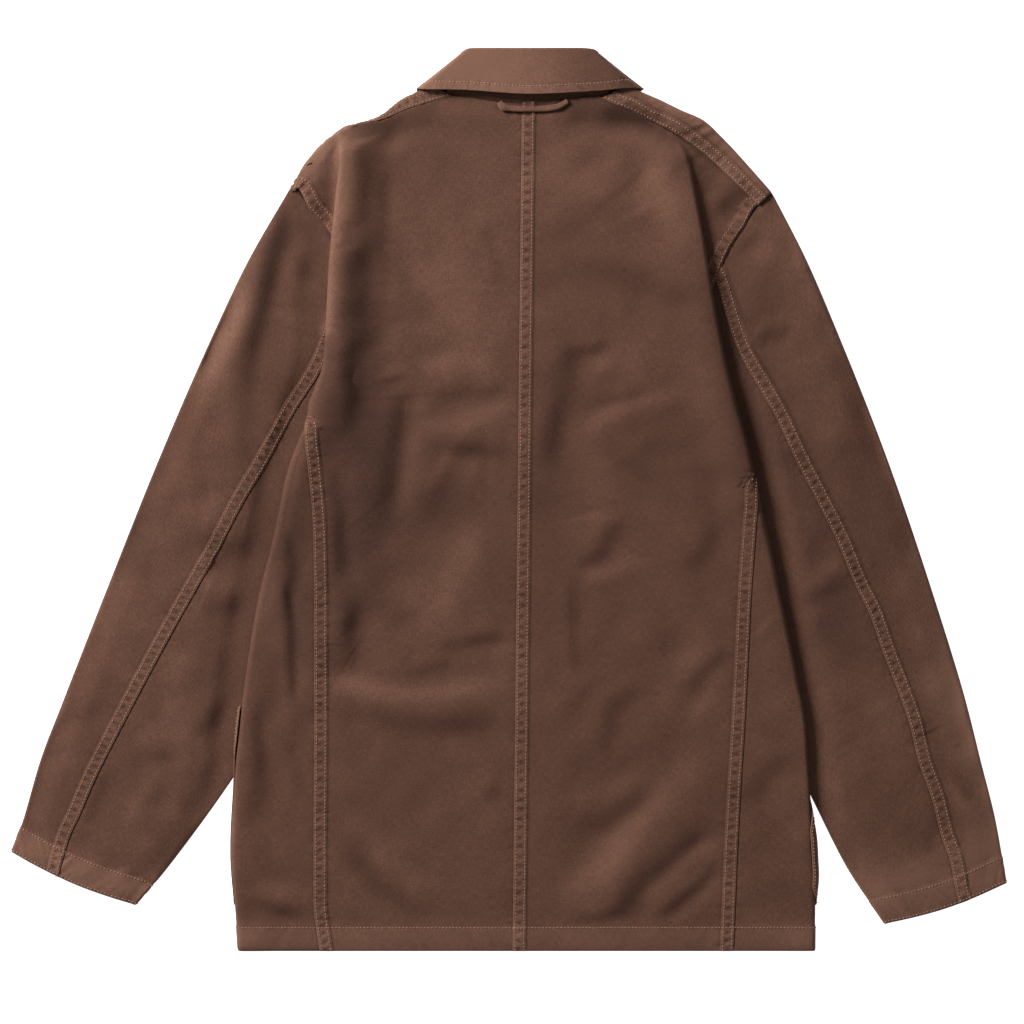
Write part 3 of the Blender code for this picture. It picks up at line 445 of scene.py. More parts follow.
def folds(strokes, x, y):
    """How far the listed folds lift the cloth at x, y, and the painted shade and painted light that they put into its
    colour there.
    """
    total, tone = np.zeros_like(x), np.zeros_like(x)
    for k in range(len(strokes["x0"])):
        s = {key: strokes[key][k] for key in strokes}
        t = np.linspace(0, 1, 15)
        mid_x, mid_y = 2 * s["x1"] - 0.5 * (s["x0"] + s["x2"]), 2 * s["y1"] - 0.5 * (s["y0"] + s["y2"])
        cx = (1 - t) ** 2 * s["x0"] + 2 * t * (1 - t) * mid_x + t * t * s["x2"]
        cy = (1 - t) ** 2 * s["y0"] + 2 * t * (1 - t) * mid_y + t * t * s["y2"]
        cx, cy = px(cx, cy)
        w = s["width"] * PIXEL * 0.95
        reach = 7 * w
        near = (x > cx.min() - reach) & (x < cx.max() + reach) & (y > cy.min() - reach) & (y < cy.max() + reach)
        if not near.any():
            continue
        # An uneven line, never quite as straight as it was drawn.
        bend = 0.18 * w * np.sin(4.0 * math.pi * t + 2.1 * k)
        along_x, along_y = cx[-1] - cx[0], cy[-1] - cy[0]
        size = math.hypot(along_x, along_y)
        cx, cy = cx - bend * along_y / size, cy + bend * along_x / size
        qx, qy = x[near], y[near]
        best, place, signed = np.full(qx.shape, 1e9), np.zeros(qx.shape), np.zeros(qx.shape)
        for i in range(len(t) - 1):
            dx, dy = cx[i + 1] - cx[i], cy[i + 1] - cy[i]
            step = math.hypot(dx, dy)
            free = ((qx - cx[i]) * dx + (qy - cy[i]) * dy) / step**2
            f = np.clip(free, 0, 1)
            d = np.hypot(qx - cx[i] - f * dx, qy - cy[i] - f * dy)
            closer = d < best
            best[closer] = d[closer]
            onto = f if 0 < i < len(t) - 2 else np.where(free < 0, free if i == 0 else 0, np.where(free > 1, free if i else 1, free))
            place[closer] = t[i] + onto[closer] * (t[i + 1] - t[i])
            signed[closer] = (((qx - cx[i]) * dy - (qy - cy[i]) * dx) / step)[closer]
        facing = (along_y * LIGHT_X - along_x * LIGHT_Y) / size
        soft = 0.55 * math.tanh(s["shade"] / 0.55)
        lit = float(smooth(abs(facing) / 0.4))  # a fold that runs with the light hardly shades
        strength = lit * soft * GAIN / max(abs(facing), 0.5) * (1 if facing > 0 else -1)
        beyond = np.clip(np.maximum(-place, place - 1), 0, None) * size
        taper = smooth((np.minimum(place, 1 - place) * size + 0.7 * w) / (2.4 * w + 0.12 * size))
        uneven = 1 + 0.22 * np.sin(6.0 * place + 1.7 * k)
        q = signed / w
        shape = 2.1 * (bell(q) - bell(q / 2.5))
        fading = taper * uneven * np.exp(-((beyond / (1.5 * w)) ** 2))
        total[near] += strength * w * shape * fading
        # Painted shade along the dark folds and painted light along the bright ones, more where a fold runs with the
        # light and its slope cannot shade it.
        tone[near] += (0.8 - 0.38 * lit) * soft * np.exp(-(q**2) / 2) * fading
    return total, tone


# Painted shade and painted light, with some paler wear at the hem and cuffs: a curve through three places in pixels,
# its half width in pixels, and how much lighter or darker the colour is made there.
PAINTED_SHADING_AND_WEAR = table(
    "x0  y0  x1  y1  x2  y2  width  shade",
    (500, 107, 527, 108, 562, 106, 3, -0.70),
    (578, 108, 614, 112, 652, 124, 11, -0.42),
    (350, 440, 350, 520, 350, 600, 34, -0.50),
    (286, 520, 286, 590, 290, 650, 26, -0.42),
    (420, 500, 480, 560, 560, 600, 40, -0.24),
    (640, 430, 690, 470, 720, 520, 34, -0.28),
    (735, 300, 745, 380, 765, 450, 24, -0.55),
    (726, 320, 738, 380, 752, 440, 18, -0.30),
    (350, 250, 352, 300, 352, 370, 20, -0.42),
    (30, 846, 80, 866, 135, 890, 14, 0.50),
    (800, 470, 822, 540, 834, 640, 26, -0.45),
    (560, 380, 545, 450, 540, 520, 24, -0.20),
    (170, 400, 150, 480, 130, 560, 18, -0.50),
    (960, 700, 985, 780, 1000, 850, 24, 0.85),
    (872, 892, 920, 880, 975, 864, 24, 1.00),
    (915, 560, 925, 620, 940, 680, 18, 0.45),
    (150, 890, 190, 860, 222, 815, 22, 0.50),
    (240, 936, 400, 938, 520, 938, 12, 0.75),
    (520, 938, 680, 938, 815, 936, 12, 0.75),
    (322, 147, 310, 164, 299, 182, 11, 1.30),
    (655, 98, 705, 122, 755, 172, 7, 0.85),
    (560, 175, 620, 185, 680, 215, 30, 0.42),
    (780, 215, 802, 260, 842, 340, 14, 0.45),
    (440, 270, 470, 330, 480, 400, 30, 0.26),
    (366, 250, 366, 330, 372, 400, 25, -0.36),
    (356, 400, 374, 480, 366, 550, 21, -0.48),
    (352, 590, 350, 630, 352, 660, 11, -0.20),
    (566, 345, 554, 420, 540, 500, 14, -0.24),
    (610, 112, 650, 118, 690, 146, 9, -0.30),
    (360, 127, 400, 122, 434, 110, 8, -0.30),
    (640, 160, 662, 200, 684, 250, 22, 0.12),
    (470, 200, 470, 280, 470, 340, 34, 0.07),
    (600, 880, 640, 820, 690, 770, 14, 0.20),
    (340, 680, 410, 694, 500, 682, 8, 0.20),
    (470, 540, 450, 590, 420, 640, 14, 0.14),
    (240, 296, 222, 340, 198, 392, 15, 0.34),
    (282, 214, 262, 290, 248, 372, 9, -0.75),
    (264, 560, 262, 600, 260, 640, 8, 0.18),
    (258, 700, 256, 750, 262, 800, 9, -0.16),
    (736, 340, 744, 380, 756, 430, 12, -0.25),
    (1000, 770, 1003, 800, 1006, 830, 6, 0.24),
    (322, 186, 314, 216, 310, 262, 9, -0.62),
    (339, 138, 335, 230, 329, 330, 6, 0.80),
    (322, 360, 316, 396, 310, 430, 4, 0.26),
    (232, 770, 233, 850, 238, 940, 4, 0.20),
    (940, 640, 962, 720, 990, 820, 10, 0.14),
    (120, 560, 90, 640, 60, 730, 12, 0.06),
)  # fmt: skip


def painted_shading_and_wear(x, y):
    """Broad soft patches painted into the cloth's colour: painted shade and painted light where folds, rolls and cast
    shadows fall, and paler wear at the hem and cuffs.
    """
    total = np.zeros_like(x)
    for k in range(len(PAINTED_SHADING_AND_WEAR["x0"])):
        s = {key: PAINTED_SHADING_AND_WEAR[key][k] for key in PAINTED_SHADING_AND_WEAR}
        w = s["width"] * PIXEL
        best = np.full(x.shape, 1e9)
        places = int(max(13, 2.2 * math.hypot(s["x2"] - s["x0"], s["y2"] - s["y0"]) / s["width"]))
        for t in np.linspace(0, 1, places):
            mid_x, mid_y = 2 * s["x1"] - 0.5 * (s["x0"] + s["x2"]), 2 * s["y1"] - 0.5 * (s["y0"] + s["y2"])
            cx, cy = px(
                (1 - t) ** 2 * s["x0"] + 2 * t * (1 - t) * mid_x + t * t * s["x2"],
                (1 - t) ** 2 * s["y0"] + 2 * t * (1 - t) * mid_y + t * t * s["y2"],
            )
            best = np.minimum(best, (x - cx) ** 2 + (y - cy) ** 2)
        total += s["shade"] * np.exp(-best / (1.3 * w * w))
    return 0.62 * total


WAVES = [
    (rng.uniform(0.05, 0.23), rng.uniform(0, 2 * math.pi), rng.uniform(0, 2 * math.pi)) for _ in range(18)
]


def waviness(x, y):
    """Slight unevenness that any cloth has when laid out."""
    total = np.zeros_like(x)
    for rate, heading, phase in WAVES:
        total += 0.011 / rate * np.sin(rate * (x * math.cos(heading) + y * math.sin(heading)) + phase)
    return total


# --- how high each layer lies ---------------------------------------------------------------------------------


def middle_seam(y):
    return mix(13.0, 5.0, (335.0 - y) / 727.0)


def lift(side, x, y):
    edge = between(side["lift"], "y", y, "x")
    return smooth(1 + side["inward"] * (edge - x) / 34.0)


def fold_x(side, y):
    return between(side["back_dense"], "y_fold", y, "x_fold")


def pocket_lift(side, x, y):
    across = side["inward"] * (x - fold_x(side, y))
    low = smooth((y - POCKET_BOTTOM + 16) / 12) * smooth((POCKET_TOP + 16 - y) / 12)
    return low * smooth((POCKET_WIDTH + 12 - across) / 10)


def from_top(side, x, y):
    """Distance to the neck and shoulder seam."""
    top = side["top"]
    tx, ty = top["x"][::6], top["y"][::6]
    x, y = np.broadcast_arrays(np.asarray(x, float), np.asarray(y, float))
    out = np.full(x.shape, 200.0)
    near = y > ty.min() - 90
    if near.any():
        d = (x[near][..., None] - tx) ** 2 + (y[near][..., None] - ty) ** 2
        out[near] = np.sqrt(d.min(-1))
    return out


def puff(side, x, y):
    """How the upper layer of the body stands up: a roll along the side fold, and a little air behind it."""
    inside = side["inward"] * (x - fold_x(side, y))
    low = smooth((y + 420) / 120)
    if side["inward"] > 0:
        roll, wide = np.interp(y, *ROLL_LEFT), np.interp(y, *WIDE_LEFT)
        rising = np.interp(y, *RISE_LEFT) * smooth((inside - 5) / 9)
    else:
        roll, wide = np.interp(y, *ROLL_RIGHT), np.interp(y, *WIDE_RIGHT)
        rising = 0.0
    fall = 1 - smooth((inside - 8) / wide)
    body = 3.0 * low + (0.5 + roll + rising) * fall
    return body * smooth((from_top(side, x, y) - 1.0) / 16)


# The roll's height, how far inwards it falls away, and how much more it rises at first, by height on the table.
ROLL_LEFT = ((-392, -250, -100, 20, 90, 180, 290, 320), (0.6, 1.2, 1.6, 2.2, 3.4, 4.6, 5.2, 4.6))
WIDE_LEFT = ((-392, 20, 90, 180, 320), (30, 26, 50, 48, 40))
RISE_LEFT = ((-392, -60, 20, 90, 180, 250, 320), (0.0, 0.2, 0.6, 1.6, 2.6, 3.2, 3.0))
ROLL_RIGHT = ((-392, -330, -250, -130, -60, 90, 150, 250, 320), (0.4, 0.4, 0.2, 1.2, 2.8, 5.0, 1.9, 0.5, 0.5))
WIDE_RIGHT = ((-392, 0, 320), (26, 36, 30))


def z_back(side, x, y):
    up = mix(Z_MIDDLE, Z_SIDE, lift(side, x, y)) + puff(side, x, y)
    shoulder = smooth((np.abs(x) - 125) / 95) * smooth((y - 215) / 60)
    return mix(up, Z_SLEEVE + 0.2, shoulder * 0.8 * smooth(-side["inward"] * (x - fold_x(side, y)) / 8))


def seam_end(t, r, inw):
    """How far past the fold's outermost line the panel ends, along the cloth."""
    if t["past"] > 0 or t["y_mid"] > 79:
        return t["past"]
    across = abs(t["x_edge"] - t["x_fold"])
    if across >= r + 0.6:
        return -(across - r - 0.6 + math.pi * r / 2)
    return -r * math.acos(1 - max(across - 0.6, 0) / r)


def neck_zone(x, y):
    return smooth((y - 214) / 30) * smooth((124 - np.abs(x - 17)) / 22)


def z_front(side, x, y, over):
    across = x if side["inward"] < 0 else -x
    ridge = BUTTON_RISE * smooth((44 - np.abs(x)) / 30) * smooth((305 - y) / 30)
    z = Z_TABLE + np.maximum(ridge, COLLAR_RISE * neck_zone(x, y))
    if side["inward"] < 0:
        z = z + OVERLAP_RISE * smooth((80 - across) / 30)
    z = z + POCKET_RISE * pocket_lift(side, x, y)
    return z + (Z_OVER - Z_TABLE) * lift(side, x + side["inward"] * 6, y) * over


def body_relief(x, y, z):
    """The folds of the body's upper layer, and the painted shade, painted light and wear put into its colour."""
    upper = smooth((z - 5.2) / 2.6)
    head = smooth((z - 1.6) / 1.2) * smooth((y - 160) / 40)  # the free part between the fold and the armhole
    total, tone = folds(BODY_FOLDS, x, y)
    upper = np.maximum(upper, head)
    return upper * (total + waviness(x, y)), upper * (tone + painted_shading_and_wear(x, y))


def sleeve_relief(side, x, y, z, u, v, width):
    """The folds of a sleeve's upper layer, its rounding towards its sides, and the painted shade, painted light and
    wear put into its colour.
    """
    upper = smooth((z - 1.6) / 1.6)
    clear = smooth((-side["inward"] * (x - fold_x(side, y)) - 6) / 22)
    clear = np.where(y > 215, smooth(v * width / 12), clear)
    edge = np.minimum(u, 1 - u) * width
    crown = 3.6 * smooth(edge / 26) * smooth(v * width / 18) * (1 - 0.7 * smooth((v - 0.92) / 0.08))
    total, tone = folds(SLEEVE_FOLDS, x, y)
    total = total + 1.2 * waviness(x + 500, y)
    shown = upper * smooth(clear * 3) * smooth(edge / 8 + 0.2)
    return upper * clear * crown + shown * total, shown * tone + upper * painted_shading_and_wear(x, y)


# --- sections -------------------------------------------------------------------------------------------------

NEAR_SEAM = np.array([0, 0.5, 1.2, 2, 2.8, 3.7, 4.7, 5.8, 6.9, 8, 9, 9.8, 10.6, 11.4, 12.2, 13.2])


def spread(length, count, near=NEAR_SEAM):
    """count + 1 places from 0 to length, close together near 0."""
    rest = count + 1 - len(near)
    return np.concatenate([near, np.linspace(near[-1], length, rest + 1)[1:]])


def half_turn(x, z_high, z_low, outward, n):
    r, mid = (z_high - z_low) / 2, (z_high + z_low) / 2
    a = math.pi * (0.5 - np.arange(1, n + 1) / n)
    return x + outward * abs(r) * np.cos(a), mid + r * np.sin(a)


def back_row(side, v, n=(46, 8, 9, 6, 18)):
    run, bend, under, bend2, out = n
    t, inw = at_row(side["back"], v), side["inward"]
    y0, y1, y2 = t["y_mid"], t["y_fold"], t["y_edge"]
    near = t["x_fold"] + inw * 4
    z_hi, z_lo = float(z_back(side, near, y1)), float(z_front(side, near, y1, 1))
    for _ in range(3):
        r = (z_hi - z_lo) / 2
        centre = t["x_fold"] + inw * (r + 0.6)
        z_hi = float(z_back(side, centre, y1))
    r = (z_hi - z_lo) / 2
    quarter = math.pi * r / 2
    count = bend + under + bend2 + out
    y_top, y_top_fold = side["back"]["y_mid"][0], side["back"]["y_fold"][0]

    def top_run(end):
        start = middle_seam(y0)
        s = spread(abs(end - start), run) / abs(end - start)
        x = mix(start, end, s)
        weight = max(0.0, 1 - v / 5) ** 2
        shape = between(side["top"], "x", mix(start, side["back"]["x_fold"][0], s), "y") - mix(y_top, y_top_fold, s)
        y = mix(y0, y1, s) + weight * shape
        return np.stack([x, y, z_back(side, x, y)], 1)

    z2 = (Z_OVER - Z_SLEEVE) / 2
    deepest = (t["x_edge"] if inw * (t["x_edge"] - t["x_fold"]) > 0 else t["x_fold"]) + inw * TUCK_DEPTH
    centre2 = deepest - inw * (z2 + 0.6)
    edge = t["x_edge"]
    xs, zs = [], []
    for hx, hz in (
        half_turn(centre, z_hi, Z_OVER, -inw, bend),
        (mix(centre, centre2, np.arange(1, under + 1) / under), np.full(under, Z_OVER)),
        half_turn(centre2, Z_OVER, Z_SLEEVE, inw, bend2),
        (mix(centre2, edge, np.arange(1, out + 1) / out), np.full(out, Z_SLEEVE)),
    ):
        xs.append(hx)
        zs.append(hz)
    part = np.arange(1, count + 1) / count
    folded = np.stack([np.concatenate(xs), mix(y1, y2, part), np.concatenate(zs)], 1)

    length = math.hypot(edge - centre, y2 - y1)
    s = 1 - spread(length, count)[::-1][1:] / length
    fx, fy = mix(centre, edge, s), mix(y1, y2, s)
    top_y = between(side["top"], "x", fx, "y")
    fy = mix(fy, top_y, max(0.0, 1 - v))
    flat = np.stack([fx, fy, mix(z_hi, Z_SLEEVE + 0.2, smooth(s))], 1)

    end = seam_end(t, r, inw)
    gradual = float(smooth((v - 8.7) / 2.4))
    first_s = min(-quarter, mix(-quarter, end - 42, gradual))
    even = end - spread(end - first_s, count)[::-1][1:]
    dense_end = end - NEAR_SEAM[::-1]
    fitted = np.concatenate([
        mix(-quarter, quarter, np.arange(1, bend + 1) / bend),
        mix(quarter, max(dense_end[0], quarter + 0.5), np.arange(1, count - bend - len(dense_end) + 2) / (count - bend - len(dense_end) + 1)),
        dense_end[1:],
    ])  # fmt: skip
    weight = float(smooth((end - quarter - 16) / 14))
    start_s = mix(first_s, -quarter, weight)
    s = mix(even, fitted, weight)
    angle = math.pi / 2 * (-np.clip(s, -quarter, quarter) / quarter)
    x = np.where(s <= -quarter, centre + inw * (-quarter - s), centre - inw * r * np.cos(angle))
    x = np.where(s >= quarter, centre + inw * (s - quarter), x)
    y = mix(y1, y2, part)
    z = np.where(s <= -quarter, z_back(side, x, y1), (z_hi + z_lo) / 2 + r * np.sin(angle))
    z = np.where(s >= quarter, z_lo, z)
    round_fold = np.stack([x, y, z], 1)
    head_round = top_run(centre + inw * (-quarter - start_s))

    body = mix(np.concatenate([head_round, round_fold]), np.concatenate([top_run(centre), folded]), t["tuck"])
    return mix(np.concatenate([top_run(centre), flat]), body, t["open"])


def front_row(side, v, n=(40, 8, 33)):
    run, bend, wrap = n
    t, inw = at_row(side["back"], v), side["inward"]
    y1 = t["y_fold"]
    near = t["x_fold"] + inw * 4
    z_hi, z_lo = float(z_back(side, near, y1)), float(z_front(side, near, y1, 1))
    for _ in range(3):
        r = (z_hi - z_lo) / 2
        centre = t["x_fold"] + inw * (r + 0.6)
        z_hi = float(z_back(side, centre, y1))
    r = (z_hi - z_lo) / 2
    quarter = math.pi * r / 2
    end = seam_end(t, r, inw)
    first_s = max(quarter, end + 10)
    count = bend + wrap
    even = mix(first_s, end, np.arange(1, count + 1) / count)
    far = -quarter - end
    places = -quarter - (far - spread(max(far, 16), wrap)[::-1][1:]) if far > 16 else mix(-quarter, end, np.arange(1, wrap + 1) / wrap)
    fitted = np.concatenate([mix(quarter, -quarter, np.arange(1, bend + 1) / bend), places])
    weight = float(smooth((far - 1) / 6))
    start_s = mix(first_s, quarter, weight)
    x_run = mix(inw * FRONT_LAP, centre + inw * (start_s - quarter), np.arange(run + 1) / run)
    run_points = np.stack([x_run, np.full(run + 1, y1), z_front(side, x_run, y1, 1)], 1)
    s = mix(even, fitted, weight)
    angle = math.pi / 2 * (-np.clip(s, -quarter, quarter) / quarter)
    x = np.where(s >= quarter, centre + inw * (s - quarter), centre - inw * r * np.cos(angle))
    x = np.where(s <= -quarter, centre + inw * (-quarter - s), x)
    z = np.where(s >= quarter, z_front(side, x, y1, 1), (z_hi + z_lo) / 2 + r * np.sin(angle))
    z = np.where(s <= -quarter, z_back(side, x, y1), z)
    return np.concatenate([run_points, np.stack([x, np.full(count, y1), z], 1)])


def front_upper_row(side, v, n=(40, 8, 33)):
    run, count = n[0], n[1] + n[2]
    t = at_row(side["front"], v)
    edge_x, edge_y = t["x_edge"] + side["inward"] * GAP / 2, t["y_edge"]
    length = math.hypot(edge_x - t["x_in"], edge_y - t["y_in"])
    s = np.concatenate([
        mix(0, 1 - 30 / length, np.arange(run + 1) / run), mix(1 - 30 / length, 1, np.arange(1, count + 1) / count)
    ])  # fmt: skip
    x, y = mix(t["x_in"], edge_x, s), mix(t["y_in"], edge_y, s)
    return np.stack([x, y, z_front(side, x, y, 0)], 1)


def shoulder_rows(side, count, top=11, bend=8):
    """The front's rows over the shoulder: the band's width on top, the half turn, and so to the table side."""
    inw = side["inward"]
    u = np.arange(count + 1) / count
    t = side["shoulder"]
    x, y = along(t, u)
    steps = np.hypot(np.diff(t["x"]), np.diff(t["y"]))
    length = np.concatenate([[0.0], np.cumsum(steps)]) / steps.sum()
    xs, ys = np.interp(u, length, t["x_seam"]), np.interp(u, length, t["y_seam"])
    ax, ay = along(t, np.minimum(u + 0.03, 1))
    bx, by = along(t, np.maximum(u - 0.03, 0))
    dx, dy = ax - bx, ay - by
    size = np.hypot(dx, dy)
    nx, ny = inw * dy / size, -inw * dx / size
    flip = np.where(nx * (xs - x) + ny * (ys - y) < 0, -1, 1)
    nx, ny = nx * flip, ny * flip
    z_hi = z_back(side, xs, ys)
    z_lo = z_front(side, x + nx * 6, y + ny * 6, 0)
    r = (z_hi - z_lo) / 2
    cx, cy = x + nx * (r + 0.6), y + ny * (r + 0.6)
    rows = [np.stack([mix(cx, xs, f), mix(cy, ys, f), z_hi], 1) for f in np.linspace(1, 0, top)]
    for j in range(1, bend + 1):
        a = math.pi * (0.5 - j / bend)
        across = -np.abs(r) * math.cos(a)
        rows.append(np.stack([cx + nx * across, cy + ny * across, (z_hi + z_lo) / 2 + r * math.sin(a)], 1))
    return rows


def sleeve_points(side, u, v, upper, cuff):
    ox, oy = along(side["outer"], v)
    ix, iy = along(side["inner"], v)
    x, y = mix(ox, ix, u), mix(oy, iy, u)
    near = max(0.0, 1 - v / 0.3) ** 2
    (sx, sy), (ux, uy), (ax, ay) = along(side["armhole"], 0.0), along(side["armhole"], 1.0), along(side["armhole"], u)
    x, y = x + near * (ax - mix(sx, ux, u)), y + near * (ay - mix(sy, uy, u))
    end = max(0.0, (v - 0.85) / 0.15) ** 2
    ex, ey = ix - ox, iy - oy
    bow = cuff * np.sin(math.pi * u) * end
    size = math.hypot(ex, ey)
    x, y = x - side["inward"] * bow * -ey / size, y - side["inward"] * bow * ex / size
    if not upper:
        return np.stack([x, y, np.full_like(x, Z_TABLE)], 1)
    clear = -side["inward"] * (x - fold_x(side, y)) - 14
    free = smooth(clear / 34) * smooth(v / 0.12) * (0.5 + 0.5 * smooth(v / 0.3))
    return np.stack([x, y, mix(Z_SLEEVE, Z_SLEEVE_FREE, free)], 1)


def seam_share(side, v):
    """How far across the sleeve, at v, the back seam runs."""
    u = np.linspace(0, 1, 241)
    row = sleeve_points(side, u, v, True, 4.0)[:, :2]
    seam = np.stack([side["seam"]["x"], side["seam"]["y"]], 1)
    tangent = np.gradient(seam, axis=0)
    gap = row[:, None] - seam[None]
    far = (gap**2).sum(2)
    nearest = far.argmin(1)
    at = np.arange(len(row))
    beside = gap[at, nearest, 0] * tangent[nearest, 1] - gap[at, nearest, 1] * tangent[nearest, 0]
    beside /= np.linalg.norm(tangent[nearest], axis=1)
    cross = [i for i in np.nonzero(beside[:-1] * beside[1:] <= 0)[0] if far[i].min() < 36]
    if not cross:
        return None
    i = cross[0]
    return float(mix(u[i], u[i + 1], beside[i] / (beside[i] - beside[i + 1] + 1e-12)))


def sleeve_rows(side, part, vs, n=(34, 8, 18)):
    """A top sleeve (part 'top') or an under sleeve, with the extra facts its relief needs."""
    run, bend, below = n
    t = side["armhole_plain"]
    steps = np.hypot(np.diff(t["x"]), np.diff(t["y"]))
    columns = np.concatenate([[0.0], np.cumsum(steps)]) / steps.sum()
    known = []
    for v in np.linspace(0, 1, 90):
        share = seam_share(side, v)
        if share is not None:
            known.append((v, share))
    kv, ks = np.array(known).T
    rows, us, widths = [], [], []
    for v in vs:
        seam = float(np.interp(v, kv, ks))
        ox, oy = along(side["outer"], v)
        ix, iy = along(side["inner"], v)
        width = math.hypot(ix - ox, iy - oy)
        ex, ey = (ix - ox) / width, (iy - oy) / width
        edge_u, away = (0.0, -1) if part == "top" else (1.0, 1)
        probe = sleeve_points(side, np.array([edge_u - away * 8 / width]), v, True, 0)[0]
        r = (probe[2] - Z_TABLE) / 2
        centre_u = edge_u - away * (r + 0.6) / width
        lap = 0.0 if part == "top" else 0.4 / width
        start = seam + lap
        length = abs(centre_u - start) * width
        u = start + away * spread(length, run) / width
        front_u = columns[6]
        lower = mix(centre_u, front_u, np.arange(1, below + 1) / below)
        up = sleeve_points(side, u, v, True, 4.0)
        c = up[-1]
        up[-6:, 2] = mix(up[-6:, 2], probe[2], np.linspace(0, 1, 6))
        a = math.pi * (0.5 - np.arange(1, bend + 1) / bend)
        across = abs(r) * np.cos(a)
        turned = np.stack([
            c[0] + away * ex * across, c[1] + away * ey * across, (probe[2] + Z_TABLE) / 2 + r * np.sin(a)
        ], 1)  # fmt: skip
        rows.append(np.concatenate([up, turned, sleeve_points(side, lower, v, False, 4.0)]))
        us.append(np.concatenate([u, np.full(bend, edge_u), lower]))
        widths.append(np.full(run + 1 + bend + below, width))
    return np.array(rows), np.array(us), np.array(widths)


def collar_row(t, n=(14, 10, 36)):
    stand, bend, fall = n
    r = (t["z_fall"] - t["z_stand"]) / 2
    dx, dy = t["x_seam"] - t["x_roll"], t["y_seam"] - t["y_roll"]
    size = math.hypot(dx, dy)
    ex, ey = dx / size, dy / size
    back = abs(r) + 0.6
    cx, cy = t["x_roll"] + ex * back, t["y_roll"] + ey * back
    s = np.arange(stand + 1) / stand
    first = np.stack([mix(t["x_seam"], cx, s), mix(t["y_seam"], cy, s), mix(t["z_seam"], t["z_stand"], s)], 1)
    a = math.pi * (0.5 - np.arange(1, bend + 1) / bend)
    across = abs(r) * np.cos(a)
    turned = np.stack([
        cx - ex * across, cy - ey * across, (t["z_fall"] + t["z_stand"]) / 2 - r * np.sin(a)
    ], 1)  # fmt: skip
    length = math.hypot(t["x_fall"] - cx, t["y_fall"] - cy)
    s = 1 - spread(length, fall, NEAR_SEAM[:12])[::-1][1:] / length
    last = np.stack([mix(cx, t["x_fall"], s), mix(cy, t["y_fall"], s), np.full(fall, t["z_fall"])], 1)
    return np.concatenate([first, turned, last])


# --- relief on a grid -----------------------------------------------------------------------------------------


